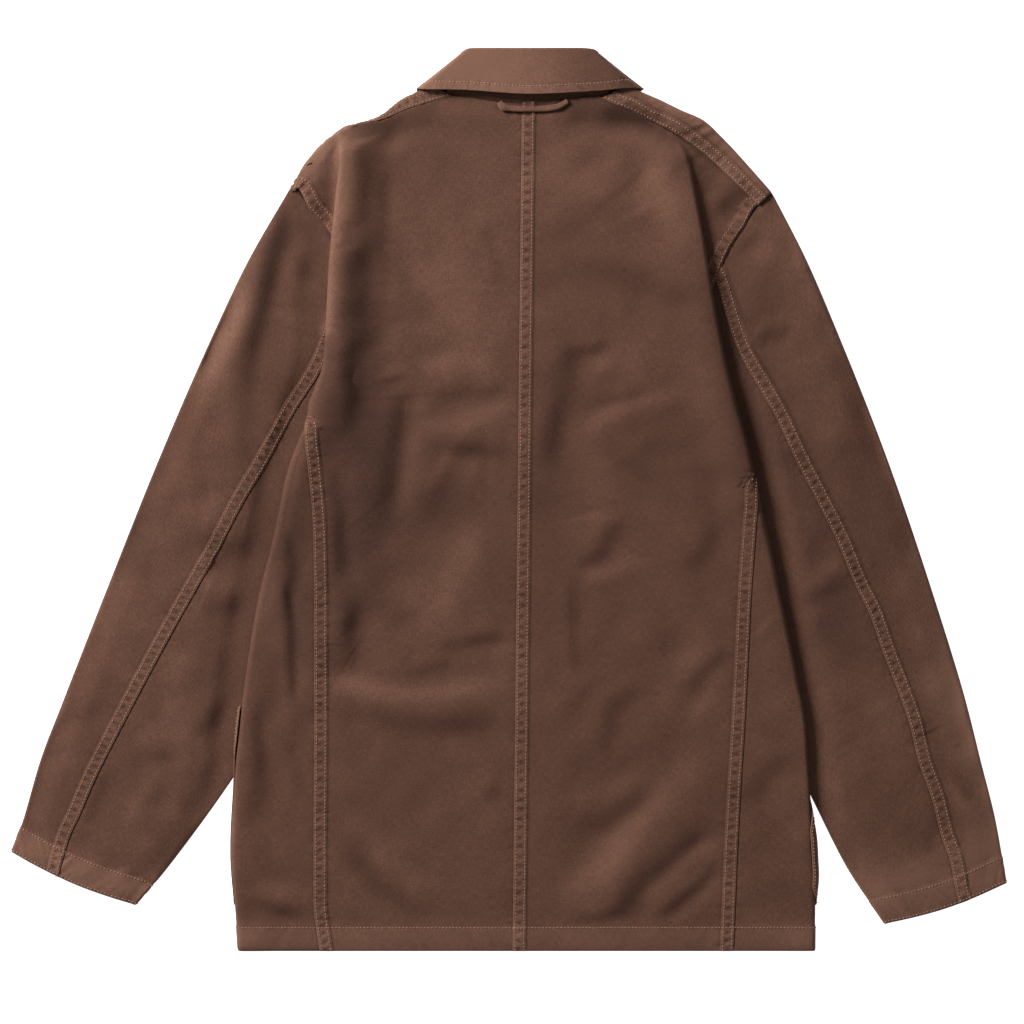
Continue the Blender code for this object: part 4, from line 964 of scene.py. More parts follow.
class Panel:
    """A grid of points, rows by columns, with what its seams add to it."""

    def __init__(self, name, points, up=None):
        self.name, self.p = name, np.asarray(points, float)
        self.rise = np.zeros(self.p.shape[:2])
        # The colour shift of each point: paler wear and dirt, with painted shade and painted light from folds, seams
        # and raised parts.
        self.fade = np.zeros(self.p.shape[:2])
        self.set_normals(up)

    def set_normals(self, up=None):
        du = np.gradient(self.p, axis=1)
        dv = np.gradient(self.p, axis=0)
        n = np.cross(du, dv)
        size = np.linalg.norm(n, axis=2, keepdims=True)
        n = n / np.maximum(size, 1e-9)
        for _ in range(2):  # where a section doubles back, its neighbours decide
            m = n.copy()
            m[:, 1:-1] += 0.5 * (n[:, :-2] + n[:, 2:])
            m[1:-1] += 0.5 * (n[:-2] + n[2:])
            n = m / np.maximum(np.linalg.norm(m, axis=2, keepdims=True), 1e-9)
        if up is None:
            self.sign = 1.0 if n[self.p.shape[0] // 2, 3, 2] > 0 else -1.0
        self.n = n * self.sign

    def relax(self, x, y, radius, times=12, above=3.0):
        """Evens out the cloth round x, y."""
        share = 0.8 * smooth(1.6 * (1 - np.hypot(self.p[..., 0] - x, self.p[..., 1] - y) / radius))
        share = (share * smooth((self.p[..., 2] - above) / 1.5))[1:-1, 1:-1, None]
        for _ in range(times):
            p = self.p
            near = (p[:-2, 1:-1] + p[2:, 1:-1] + p[1:-1, :-2] + p[1:-1, 2:]) / 4
            self.p[1:-1, 1:-1] = mix(p[1:-1, 1:-1], near, share)

    def edge(self, which):
        return {"first": self.p[:, 0], "last": self.p[:, -1], "top": self.p[0], "bottom": self.p[-1]}[which]

    def distance(self, which, reach=34.0, skip=None):
        """Distance of each point from an edge, and how far along that edge it lies."""
        line = self.edge(which).copy()
        self.gap_at = None
        if skip is not None:
            line[skip] += 1e5
        steps = np.linalg.norm(np.diff(line, axis=0), axis=1)
        s = np.concatenate([[0.0], np.cumsum(steps)])
        steps[steps > 1e3] = 0
        s = np.concatenate([[0.0], np.cumsum(steps)])
        if skip is not None and skip.any():
            self.gap_at = s[int(np.argmax(skip))]
        tangent = np.gradient(self.edge(which), axis=0)
        tangent /= np.maximum(np.linalg.norm(tangent, axis=1, keepdims=True), 1e-9)
        axis = 1 if which in ("first", "last") else 0
        length = np.concatenate([
            np.zeros((self.p.shape[0], 1) if axis else (1, self.p.shape[1])),
            np.cumsum(np.linalg.norm(np.diff(self.p, axis=axis), axis=2), axis=axis),
        ], axis=axis)  # fmt: skip
        if which in ("last", "bottom"):
            length = (length[:, -1:] if axis else length[-1:]) - length
        near = length < reach
        q = self.p[near]
        best, where = np.full(len(q), 1e9), np.zeros(len(q), int)
        for a in range(0, len(q), 4000):
            away = q[a : a + 4000, None, :] - line[None]
            away[..., 2] = 3.0 * np.maximum(np.abs(away[..., 2]) - 2.2, 0)  # so that another layer is never near
            d = (away**2).sum(2)
            where[a : a + 4000] = d.argmin(1)
            best[a : a + 4000] = d.min(1)
        gap = q - line[where]
        gap[:, 2] = 3.0 * np.maximum(np.abs(gap[:, 2]) - 2.2, 0)
        t = (gap * tangent[where]).sum(1)
        t = np.where(np.abs(t) > 3, 0, t)
        d = np.sqrt(np.maximum((gap**2).sum(1) - t**2, 0))
        out_d, out_s = np.full(self.p.shape[:2], 1e3), np.zeros(self.p.shape[:2])
        out_d[near] = d
        out_s[near] = s[where] + t
        return out_d, out_s, s[-1]

    def pucker(self, d, s, total, pitch, amount, span, seed, slant=0.35):
        """Short dips across a seam, where its rows of stitches draw the cloth in."""
        r = np.random.default_rng(seed)
        place = r.uniform(0, pitch)
        added = np.zeros_like(self.rise)
        while place < total:
            lean = r.normal(0, slant)
            wide = r.uniform(0.9, 1.7)
            deep = amount * r.uniform(0.35, 1.25)
            far = span * r.uniform(0.8, 1.25)
            t = s - place - lean * (d - span / 2)
            m = (np.abs(t) < 3.2 * wide) & (d < far * 1.9)
            window = smooth(d[m] / 1.2) * (1 - smooth((d[m] - far * 0.75) / (far * 0.8)))
            added[m] -= deep * np.exp(-((t[m] / wide) ** 2)) * window
            place += pitch * r.uniform(0.55, 1.5)
        self.rise += added
        # The dips are painted darker as well, as painted shade.
        self.fade += 0.55 * added

    def dots(self, d, s, total, pitch, middle, depth, seed):
        """Between the two rows of a felled seam the cloth is drawn into small hollows."""
        r = np.random.default_rng(seed)
        place = r.uniform(0, pitch)
        while place < total:
            long, wide = r.uniform(1.15, 1.75), r.uniform(1.7, 2.5)
            lean = r.normal(0.0, 0.12)
            t = s - place - lean * (d - middle)
            off = d - middle - r.normal(0, 0.35)
            m = (np.abs(t) < 3 * long) & (np.abs(off) < 3 * wide)
            hollow = np.exp(-((t[m] / long) ** 2) - (off[m] / wide) ** 2)
            self.rise[m] -= depth * r.uniform(0.5, 1.2) * hollow
            # Each hollow is painted darker, as painted shade.
            self.fade[m] -= 0.66 * r.uniform(0.55, 1.2) * hollow
            t = t - pitch / 2
            m = (np.abs(t) < 4 * long) & (np.abs(off) < 3 * wide)
            cushion = np.exp(-((t[m] / (1.2 * long)) ** 2) - (off[m] / wide) ** 2)
            self.rise[m] += 0.28 * depth * cushion
            # Each cushion between is painted lighter, as wear and painted light.
            self.fade[m] += 0.12 * cushion
            place += pitch * r.uniform(0.82, 1.18)

    def band(self, which, seed, amount=0.34, rise=BAND_RISE, rows=ROWS, width=BAND, skip=None, pale=0.24, pitch=7.1):
        """A felled seam along an edge of the panel that lies on top."""
        d, s, total = self.distance(which, skip=skip)
        before, wear_and_shading_before = self.rise.copy(), self.fade.copy()
        flat = 1 - smooth((d - width + 0.7) / 1.5)
        self.rise += rise * flat
        for row in rows:
            self.rise -= 0.24 * np.exp(-(((d - row) / 0.75) ** 2))
        self.fade += pale * flat
        self.fade += 0.16 * np.exp(-(((d - 0.5) / 0.9) ** 2)) + 0.10 * np.exp(-(((d - width + 0.6) / 0.9) ** 2))
        # Just past the band the crease is painted darker, as dirt and painted shade.
        self.fade -= 0.26 * np.exp(-(((d - width - 1.1) / 0.8) ** 2))
        self.dots(d, s, total, pitch, 0.5 * (rows[0] + rows[1]), 0.85, seed + 40)
        self.pucker(d, s, total, pitch, amount * 0.6, width, seed, 0.2)
        self.pucker(d, s, total, 3.4, amount * 0.25, width, seed + 50, 0.15)
        if self.gap_at is not None:  # the band comes up gradually where it starts
            ramp = smooth((np.abs(s - self.gap_at) - 1) / 12)
            self.rise, self.fade = mix(before, self.rise, ramp), mix(wear_and_shading_before, self.fade, ramp)
        return d, s, total

    def under(self, which, seed, amount=0.22, skip=None, tuck=3.2, on=1.0, drop=1.2):
        """The panel on the other side of a felled seam: it dips to the seam, and its edge goes in under the band."""
        d, s, total = self.distance(which, skip=skip)
        self.rise -= 0.22 * np.exp(-((d / 2.4) ** 2))
        # The seam is painted darker where this panel goes in under the band, as dirt and painted shade.
        self.fade -= 0.50 * np.exp(-((d / 1.3) ** 2))
        self.pucker(d, s, total, 9.5, amount, 6.0, seed, 0.5)
        self.tuck(which, tuck, drop, on)

    def tuck(self, which, by, drop=1.2, on=1.0):
        """Takes the edge of this panel in under the band that covers it."""
        flip = which in ("first", "last")
        at = self.p.swapaxes(0, 1) if flip else self.p
        rise = self.rise.swapaxes(0, 1) if flip else self.rise
        order = list(range(4)) if which in ("first", "top") else [len(at) - 1 - k for k in range(4)]
        edge = at[order[0]].copy()
        out = edge - at[order[3]]
        out /= np.maximum(np.linalg.norm(out, axis=1, keepdims=True), 1e-9)
        for k, past in ((0, by), (1, 0.4 * by), (2, -0.15)):
            at[order[k]] = mix(at[order[k]], edge + out * past, np.reshape(on, (-1, 1)))
            rise[order[k]] -= drop * (1.0, 1.0, 0.25)[k] * on

    def hem(self, which, width, seed, rise=0.6, amount=0.2, row=None, pale=0.10):
        """A turned edge, held by one row of stitches."""
        d, s, total = self.distance(which, width + 30)
        row = width - 1.6 if row is None else row
        self.rise += rise * (1 - smooth((d - width + 0.8) / 1.6)) * smooth((d + 1.2) / 2.2)
        self.rise -= 0.34 * np.exp(-(((d - row) / 0.9) ** 2))
        self.fade += pale * (1 - smooth((d - width + 0.8) / 1.6))
        # The turned edge is paler where it has rubbed; just past the turned part the step is painted darker, as painted
        # shade.
        self.fade += 0.26 * np.exp(-((d / 1.4) ** 2)) - 0.16 * np.exp(-(((d - width - 0.6) / 1.2) ** 2))
        r = np.random.default_rng(seed)
        place = 0.0
        added = np.zeros_like(self.rise)
        while place < total:  # the slanting ropes that a turned and stitched edge shows
            lean, wide = r.uniform(0.25, 0.9), r.uniform(1.3, 2.6)
            t = s - place - lean * (d - width / 2)
            m = (np.abs(t) < 3 * wide) & (d < width * 1.3)
            window = smooth((d[m] + 0.5) / 3) * (1 - smooth((d[m] - width) / (width * 0.3)))
            added[m] += amount * r.uniform(-1, 0.8) * np.exp(-((t[m] / wide) ** 2)) * window
            place += r.uniform(3.5, 9.5)
        self.rise += added
        # The ropes are paler where they rise, as wear and painted light, and darker where they sink, as painted shade.
        self.fade += 0.55 * added
        return d, s, total

    def extend(self, which, by=1.2, steps=5):
        """Lets the edge of the piece on top reach a little over its neighbour."""
        at = self.p.swapaxes(0, 1) if which in ("first", "last") else self.p
        order = list(range(steps)) if which in ("first", "top") else [len(at) - 1 - k for k in range(steps)]
        out = at[order[0]] - at[order[3]]
        out /= np.maximum(np.linalg.norm(out, axis=1, keepdims=True), 1e-9)
        for k, i in enumerate(order):
            at[i] += out * by * (1 - k / steps)

    def outer(self):
        return self.p + self.n * (self.rise + WALL_UP)[..., None]

    def build(self, twill, shrink=3):
        """The closed shell: a fine outside, a coarser inside, and a soft rim."""
        up = np.full(self.p.shape[:2], WALL_UP)
        up[0], up[-1], up[:, 0], up[:, -1] = 0.25, 0.25, 0.25, 0.25
        rows, cols = up.shape
        outer = self.p + self.n * (self.rise + up)[..., None]
        ri = np.unique(np.concatenate([np.arange(0, rows, shrink), [rows - 1]]))
        ci = np.unique(np.concatenate([np.arange(0, cols, shrink), [cols - 1]]))
        inner = (self.p + self.n * (self.rise - WALL_DOWN)[..., None])[np.ix_(ri, ci)]
        outer[..., 2] = np.maximum(outer[..., 2], 0.03)  # nothing goes below the surface that it lies on
        inner[..., 2] = np.maximum(inner[..., 2], 0.42)
        points = np.concatenate([outer.reshape(-1, 3), inner.reshape(-1, 3)]) * MM
        a = np.arange(rows * cols).reshape(rows, cols)
        b = rows * cols + np.arange(len(ri) * len(ci)).reshape(len(ri), len(ci))
        quads = [
            np.stack([a[:-1, :-1], a[:-1, 1:], a[1:, 1:], a[1:, :-1]], -1).reshape(-1, 4),
            np.stack([b[:-1, :-1], b[1:, :-1], b[1:, 1:], b[:-1, 1:]], -1).reshape(-1, 4),
        ]
        tris = []

        def rim(fine, coarse, at, flip):
            pick = np.clip(np.searchsorted(at, np.arange(len(fine)) - shrink / 2), 0, len(at) - 1)
            pick[0], pick[-1] = 0, len(at) - 1
            for k in range(len(fine) - 1):
                new = [(fine[k], coarse[pick[k]], fine[k + 1])]
                for j in range(pick[k], pick[k + 1]):
                    new.append((fine[k + 1], coarse[j], coarse[j + 1]))
                tris.extend([t[::-1] for t in new] if flip else new)

        rim(a[0], b[0], ci, False)
        rim(a[-1], b[-1], ci, True)
        rim(a[:, 0], b[:, 0], ri, True)
        rim(a[:, -1], b[:, -1], ri, False)
        faces = [q.tolist() for q in quads]
        faces = faces[0] + faces[1] + [list(map(int, t)) for t in tris]
        if self.sign > 0:
            pass
        else:
            faces = [f[::-1] for f in faces]
        mesh = bpy.data.meshes.new(self.name)
        mesh.from_pydata(points.tolist(), [], faces)
        mesh.update()
        mesh.shade_smooth()
        # Cloth co-ordinates in metres: across the piece, and along it.
        across = np.concatenate([np.zeros((rows, 1)), np.cumsum(np.linalg.norm(np.diff(self.p, axis=1), axis=2), axis=1)], axis=1)
        down = np.concatenate([np.zeros((1, cols)), np.cumsum(np.linalg.norm(np.diff(self.p, axis=0), axis=2), axis=0)], axis=0)
        down = np.repeat(down.mean(1, keepdims=True), cols, axis=1)
        uv_of = np.concatenate([
            np.stack([across, down], -1).reshape(-1, 2), np.stack([across, down], -1)[np.ix_(ri, ci)].reshape(-1, 2)
        ]) * MM  # fmt: skip
        layer = mesh.uv_layers.new(name="UVMap")
        corner = np.zeros(len(mesh.loops), np.int32)
        mesh.loops.foreach_get("vertex_index", corner)
        layer.data.foreach_set("uv", uv_of[corner].astype(np.float32).ravel())
        fade = np.concatenate([self.fade.ravel(), self.fade[np.ix_(ri, ci)].ravel()])
        mesh.attributes.new("fade", "FLOAT", "POINT").data.foreach_set("value", np.clip(fade, -1, 1).astype(np.float32))
        mesh.materials.append(twill)
        made = bpy.data.objects.new(self.name, mesh)
        bpy.context.scene.collection.objects.link(made)
        self.obj = made
        return made

    def line_at(self, dist, d, which, clip=None):
        """The line on the outer surface that keeps a distance d from an edge, with its normals."""
        surface = self.outer()
        at, normal, gap = surface, self.n, dist
        if which in ("top", "bottom"):
            at, normal, gap = at.swapaxes(0, 1), normal.swapaxes(0, 1), gap.T
        if which in ("last", "bottom"):
            at, normal, gap = at[:, ::-1], normal[:, ::-1], gap[:, ::-1]
        points, normals = [], []
        for i in range(len(at)):
            row = gap[i]
            stop = int(np.argmax(row > d + 4)) or len(row)
            if row[:stop].max() < d or row[0] > d:
                continue
            j = int(np.argmax(row >= d))
            if j == 0:
                continue
            f = (d - row[j - 1]) / max(row[j] - row[j - 1], 1e-9)
            points.append(mix(at[i, j - 1], at[i, j], f))
            normals.append(mix(normal[i, j - 1], normal[i, j], f))
        return (np.array(points), np.array(normals)) if len(points) > 3 else (None, None)


class Thread:
    """Stitches, gathered into one object for each piece they hold."""

    def __init__(self):
        self.points, self.faces, self.count = [], [], 0
        angle = np.linspace(0, 2 * math.pi, 6)[:-1]
        self.ring = np.stack([np.cos(angle), np.sin(angle)], 1)
        self.stations = [(-0.5, 0.35, -0.3), (-0.26, 0.95, 0.15), (0.26, 0.95, 0.15), (0.5, 0.35, -0.3)]

    def stitch(self, at, tangent, normal, length, radius):
        sideways = np.cross(normal, tangent)
        base = self.count
        for place, wide, high in self.stations:
            middle = at + tangent * place * length + normal * (high * radius + 0.16)
            for c, s in self.ring:
                self.points.append((middle + sideways * c * radius * wide + normal * s * radius * wide) * MM)
                self.points[-1][2] = max(self.points[-1][2], 0.0)
        for k in range(3):
            for j in range(5):
                a, b = base + 5 * k + j, base + 5 * k + (j + 1) % 5
                self.faces.append((a, b, b + 5, a + 5))
        self.faces.append(tuple(base + j for j in (4, 3, 2, 1, 0)))
        self.faces.append(tuple(base + 15 + j for j in (0, 1, 2, 3, 4)))
        self.count += 20

    def run(self, points, normals, seed, pitch=STITCH_PITCH, start=0.0, stop=None, only=None):
        if points is None:
            return
        r = np.random.default_rng(seed)
        steps = np.linalg.norm(np.diff(points, axis=0), axis=1)
        s = np.concatenate([[0.0], np.cumsum(steps)])
        stop = s[-1] if stop is None else stop
        place = start + pitch * 0.5
        while place < stop:
            at = np.array([np.interp(place, s, points[:, k]) for k in range(3)])
            ahead = np.array([np.interp(place + 1.2, s, points[:, k]) for k in range(3)])
            behind = np.array([np.interp(place - 1.2, s, points[:, k]) for k in range(3)])
            normal = np.array([np.interp(place, s, normals[:, k]) for k in range(3)])
            tangent = ahead - behind
            size = np.linalg.norm(tangent)
            if size > 0.3 and (only is None or only(at)):
                tangent /= size
                normal = normal - tangent * (normal @ tangent)
                normal /= max(np.linalg.norm(normal), 1e-9)
                side = np.cross(normal, tangent)
                tangent = tangent + side * r.normal(0, 0.05)
                tangent /= np.linalg.norm(tangent)
                at = at + side * r.normal(0, 0.09)
                self.stitch(at, tangent, normal, STITCH_LENGTH * r.uniform(0.88, 1.1), STITCH_RADIUS)
            place += pitch * r.uniform(0.94, 1.06)

    def build(self, name, material):
        mesh = bpy.data.meshes.new(name)
        mesh.from_pydata([tuple(p) for p in self.points], [], self.faces)
        mesh.update()
        mesh.shade_smooth()
        mesh.materials.append(material)
        made = bpy.data.objects.new(name, mesh)
        bpy.context.scene.collection.objects.link(made)
        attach(made, "root")
        return made


# --- materials ------------------------------------------------------------------------------------------------


def node(tree, kind, **sockets):
    made = tree.nodes.new(kind)
    for key, value in sockets.items():
        if key.startswith("_"):
            setattr(made, key[1:], value)
        else:
            made.inputs[key.replace("_", " ")].default_value = value
    return made


def twill_material(name, dark, mid, light, seed, bump=1.0):
    """Washed twill: mottled dye, uneven yarns, a fine diagonal, and paler cloth where it has rubbed, with painted shade
    and painted light on top from the per-point colour shift.
    """
    made = bpy.data.materials.new(name)
    made.use_nodes = True
    t = made.node_tree
    shader = t.nodes["Principled BSDF"]
    shader.inputs["Roughness"].default_value = 0.88
    shader.inputs["Specular IOR Level"].default_value = 0.25
    shader.inputs["Sheen Weight"].default_value = 0.12
    shader.inputs["Sheen Roughness"].default_value = 0.45
    shader.inputs["Sheen Tint"].default_value = (0.75, 0.55, 0.45, 1)
    uv = node(t, "ShaderNodeUVMap", _uv_map="UVMap")
    place = node(t, "ShaderNodeTexCoord")
    link = t.links.new

    def noise(vector, scale, stretch, detail, rough):
        m = node(t, "ShaderNodeMapping")
        m.inputs["Scale"].default_value = stretch
        m.inputs["Location"].default_value = (seed, seed * 0.37, 0)
        link(vector, m.inputs["Vector"])
        n = node(t, "ShaderNodeTexNoise", Scale=scale, Detail=detail, Roughness=rough)
        link(m.outputs["Vector"], n.inputs["Vector"])
        return n.outputs["Fac"]

    def scaled(socket, amount, centre=0.5):
        m = node(t, "ShaderNodeMath", _operation="SUBTRACT")
        link(socket, m.inputs[0])
        m.inputs[1].default_value = centre
        k = node(t, "ShaderNodeMath", _operation="MULTIPLY")
        link(m.outputs[0], k.inputs[0])
        k.inputs[1].default_value = amount
        return k.outputs[0]

    def add(a, b):
        m = node(t, "ShaderNodeMath", _operation="ADD")
        link(a, m.inputs[0])
        link(b, m.inputs[1])
        return m.outputs[0]

    cloud = noise(place.outputs["Object"], 7.0, (1, 1, 0.2), 3.0, 0.55)
    patch = noise(place.outputs["Object"], 45.0, (1, 1, 0.2), 3.0, 0.6)
    warp = noise(uv.outputs["UV"], 1.0, (1150, 210, 1), 2.0, 0.6)
    weft = noise(uv.outputs["UV"], 1.0, (190, 950, 1), 2.0, 0.6)
    speck = noise(uv.outputs["UV"], 620.0, (1, 1, 1), 2.0, 0.65)
    diagonal = node(t, "ShaderNodeTexWave", _wave_type="BANDS", _bands_direction="DIAGONAL", Scale=330.0, Distortion=1.6)
    diagonal.inputs["Detail"].default_value = 2.0
    diagonal.inputs["Detail Scale"].default_value = 3.0
    link(uv.outputs["UV"], diagonal.inputs["Vector"])
    fade = node(t, "ShaderNodeAttribute", _attribute_name="fade")
    shade = add(scaled(cloud, 0.42), scaled(patch, 0.26))
    shade = add(shade, add(scaled(warp, 0.62), scaled(weft, 0.48)))
    shade = add(shade, add(scaled(speck, 0.34), scaled(diagonal.outputs["Fac"], 0.10)))
    # The per-point shift adds wear, dirt, painted shade and painted light to the colour.
    shade = add(shade, scaled(fade.outputs["Fac"], 0.75, 0.0))
    centre = node(t, "ShaderNodeMath", _operation="ADD")
    link(shade, centre.inputs[0])
    centre.inputs[1].default_value = 0.5
    ramp = node(t, "ShaderNodeValToRGB")
    ramp.color_ramp.elements[0].position = 0.0
    ramp.color_ramp.elements[0].color = (*dark, 1)
    ramp.color_ramp.elements[1].position = 1.0
    ramp.color_ramp.elements[1].color = (*light, 1)
    ramp.color_ramp.elements.new(0.5).color = (*mid, 1)
    link(centre.outputs[0], ramp.inputs["Fac"])
    link(ramp.outputs["Color"], shader.inputs["Base Color"])
    height = add(scaled(diagonal.outputs["Fac"], 0.55), scaled(warp, 0.9))
    height = add(height, add(scaled(weft, 0.8), scaled(speck, 0.8)))
    b = node(t, "ShaderNodeBump", Strength=0.55 * bump, Distance=0.00022)
    link(height, b.inputs["Height"])
    link(b.outputs["Normal"], shader.inputs["Normal"])
    return made


def thread_material():
    made = bpy.data.materials.new("tan_thread")
    made.use_nodes = True
    t = made.node_tree
    shader = t.nodes["Principled BSDF"]
    shader.inputs["Roughness"].default_value = 0.7
    shader.inputs["Sheen Weight"].default_value = 0.2
    place = node(t, "ShaderNodeTexCoord")
    n = node(t, "ShaderNodeTexNoise", Scale=260.0, Detail=2.0)
    t.links.new(place.outputs["Object"], n.inputs["Vector"])
    ramp = node(t, "ShaderNodeValToRGB")
    ramp.color_ramp.elements[0].position, ramp.color_ramp.elements[1].position = 0.3, 0.7
    ramp.color_ramp.elements[0].color = (0.27, 0.135, 0.088, 1)
    ramp.color_ramp.elements[1].color = (0.42, 0.24, 0.165, 1)
    t.links.new(n.outputs["Fac"], ramp.inputs["Fac"])
    t.links.new(ramp.outputs["Color"], shader.inputs["Base Color"])
    return made


def button_material():
    made = bpy.data.materials.new("brown_button")
    made.use_nodes = True
    t = made.node_tree
    shader = t.nodes["Principled BSDF"]
    shader.inputs["Roughness"].default_value = 0.35
    place = node(t, "ShaderNodeTexCoord")
    n = node(t, "ShaderNodeTexNoise", Scale=90.0, Detail=4.0, Distortion=1.5)
    t.links.new(place.outputs["Object"], n.inputs["Vector"])
    ramp = node(t, "ShaderNodeValToRGB")
    ramp.color_ramp.elements[0].color = (0.025, 0.013, 0.009, 1)
    ramp.color_ramp.elements[1].color = (0.10, 0.055, 0.035, 1)
    t.links.new(n.outputs["Fac"], ramp.inputs["Fac"])
    t.links.new(ramp.outputs["Color"], shader.inputs["Base Color"])
    return made


DARK, MID, PALE = (0.0522, 0.0224, 0.0144), (0.1127, 0.0502, 0.0322), (0.213, 0.1054, 0.0712)
twill = twill_material("brown_twill", DARK, MID, PALE, 3.1)
thread = thread_material()
button_finish = button_material()


# --- the pieces -----------------------------------------------------------------------------------------------


def declare(panel, node_name):
    made = panel.build(twill)
    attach(made, "root")
    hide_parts(node_name)
    return made


def add_relief(panel, relief):
    by, tone = relief
    panel.p[..., 2] += by
    # The relief's second part is painted shade, painted light and wear, added to the colour.
    panel.fade += tone
    panel.set_normals(True)


def back_places(side, count):
    """Rows spaced evenly down the centre seam."""
    v = np.linspace(0, len(side["back"]["y_mid"]) - 1, 1200)
    y = pchip(side["back"]["y_mid"], v)
    steps = -np.diff(y) * np.where((v[1:] > 7.9) & (v[1:] < 9.6), 3.0, 1.0)
    length = np.concatenate([[0.0], np.cumsum(steps)])
    return np.interp(np.linspace(0, length[-1], count), length, v)


for word, side, seed in (("left", LEFT, 100), ("right", RIGHT, 200)):
    stitches = Thread()

    # The back.
    places = back_places(side, 571)
    back = Panel(f"cloth_back_{word}", [back_row(side, v) for v in places])
    if word == "right":
        back.extend("first", 1.4)
    back.extend("last", 1.2)
    add_relief(back, body_relief(back.p[..., 0], back.p[..., 1], back.p[..., 2]))
    if word == "right":
        d, s, total = back.band("first", seed + 1, pitch=8.4)
    else:
        back.under("first", seed + 1)
    turned = (places > 7.9) & (places < 9.06)
    e, es, etotal = back.band("last", seed + 2, amount=0.62, skip=turned)
    if word == "left":
        tx = back.p[0, :, 0]
        over = 2.6 * smooth((-110 - tx) / 12) * smooth((tx + 202) / 12)
        edge = back.p[:6].copy()
        for k in range(6):
            back.p[k, :, :2] += ((edge[0] - edge[5]) / 6.5)[:, :2] * (over * (1 - k / 6))[:, None]
            back.p[k, :, 2] += 1.3 * smooth(over / 2.6) * (0.35 + 0.65 * k / 6)
        for x, y in ((347, 138), (356, 124), (348, 238), (309, 166), (299, 184), (350, 706)):
            back.relax(*px(x, y), 14)
        back.set_normals(True)
    else:
        back.tuck("top", 2.0, 0.9)
        back.relax(*px(748, 483), 13)
        back.relax(*px(614, 510), 16)
    h, hs, htotal = back.hem("bottom", HEM, seed + 3)
    if word == "right":
        for k, row in enumerate(ROWS):
            stitches.run(*back.line_at(d, row, "first"), seed + 5 + k)
    for k, row in enumerate(ROWS):
        stitches.run(*back.line_at(e, row, "last"), seed + 7 + k, only=lambda at: at[2] > 2.6 and (at[1] > 150 or at[1] < 68))
    stitches.run(*back.line_at(h, HEM - 1.6, "bottom"), seed + 9)

    # The front.
    last = len(side["back"]["y_mid"]) - 1
    lower_places = back_places(side, 571)
    lower_places = lower_places[lower_places >= 8]
    kept = (np.arange(len(lower_places)) % 2 == 0) | (lower_places < 9.4)
    kept[-1] = True
    lower_places = lower_places[kept]
    rows = shoulder_rows(side, 81)
    rows += [front_upper_row(side, v) for v in np.linspace(0, 6, 50)]
    rows += [front_row(side, v) for v in lower_places]
    front = Panel(f"cloth_front_{word}", np.array(rows))
    if front.n[4, 40, 2] < 0:
        front.sign = -front.sign
    front.set_normals(True)
    front.extend("top", 1.0, 4)
    add_relief(front, body_relief(front.p[..., 0], front.p[..., 1], front.p[..., 2]))
    fd, fs, ftotal = front.band("top", seed + 11, amount=0.75, width=10.3, rows=(2.0, 8.5), pale=0.28, rise=0.45)
    # The front's raised part by the shoulders is painted lighter, as painted light.
    front.fade += 0.30 * smooth((front.p[..., 2] - 3) / 1.5) * smooth((front.p[..., 1] - 225) / 20)
    if word == "left":
        front.relax(*px(309, 166), 12)
        front.relax(*px(297, 186), 10)
        front.rise -= 2.0 * smooth((-112 - front.p[..., 0]) / 10) * smooth((front.p[..., 2] - 3) / 1.5) * (fd < 14)
    turned = np.concatenate([np.ones(len(rows) - len(lower_places), bool), lower_places < 9.06])
    front.under("last", seed + 12, skip=turned, on=1.0 - turned)
    fh, fhs, fhtotal = front.hem("bottom", HEM, seed + 13)
    fe, fes, fetotal = front.distance("first", 20)
    for k, row in enumerate((2.0, 8.5)):
        shown = lambda at: word == "right" or at[0] > -119
        stitches.run(*front.line_at(fd, row, "top"), seed + 15 + k, only=shown)
    stitches.run(*front.line_at(fh, HEM - 1.6, "bottom"), seed + 17)
    stitches.run(*front.line_at(fe, 6.0, "first"), seed + 18, only=lambda at: at[1] < 265)

    # The sleeve.
    places = np.linspace(0, 1, 421)
    panels = {}
    for part in ("top", "under"):
        points, us, widths = sleeve_rows(side, part, places)
        panel = Panel(f"cloth_sleeve_{word}_{part}", points)
        if part == "top":
            panel.extend("first", 1.2)
        vs = np.repeat(places[:, None], points.shape[1], 1)
        relief = sleeve_relief(side, panel.p[..., 0], panel.p[..., 1], panel.p[..., 2], us, vs, widths)
        add_relief(panel, relief)
        panel.relax(*px(845, 709), 16, above=1.0)
        if part == "top":
            sd, ss, stotal = panel.band("first", seed + 21, amount=0.5)
        else:
            panel.under("first", seed + 22)
        panel.under("top", seed + 24, amount=0.5, drop=0.5)
        ch, chs, chtotal = panel.hem("bottom", CUFF, seed + 23, amount=0.62 if word == "left" else 0.34, pale=0.2)
        if part == "top":
            for k, row in enumerate(ROWS):
                stitches.run(*panel.line_at(sd, row, "first"), seed + 25 + k)
        stitches.run(*panel.line_at(ch, CUFF - 1.6, "bottom"), seed + 27)
        stitches.run(*panel.line_at(ch, 2.0, "bottom"), seed + 28, only=lambda at: at[2] > 1.5)
        panels[part] = panel

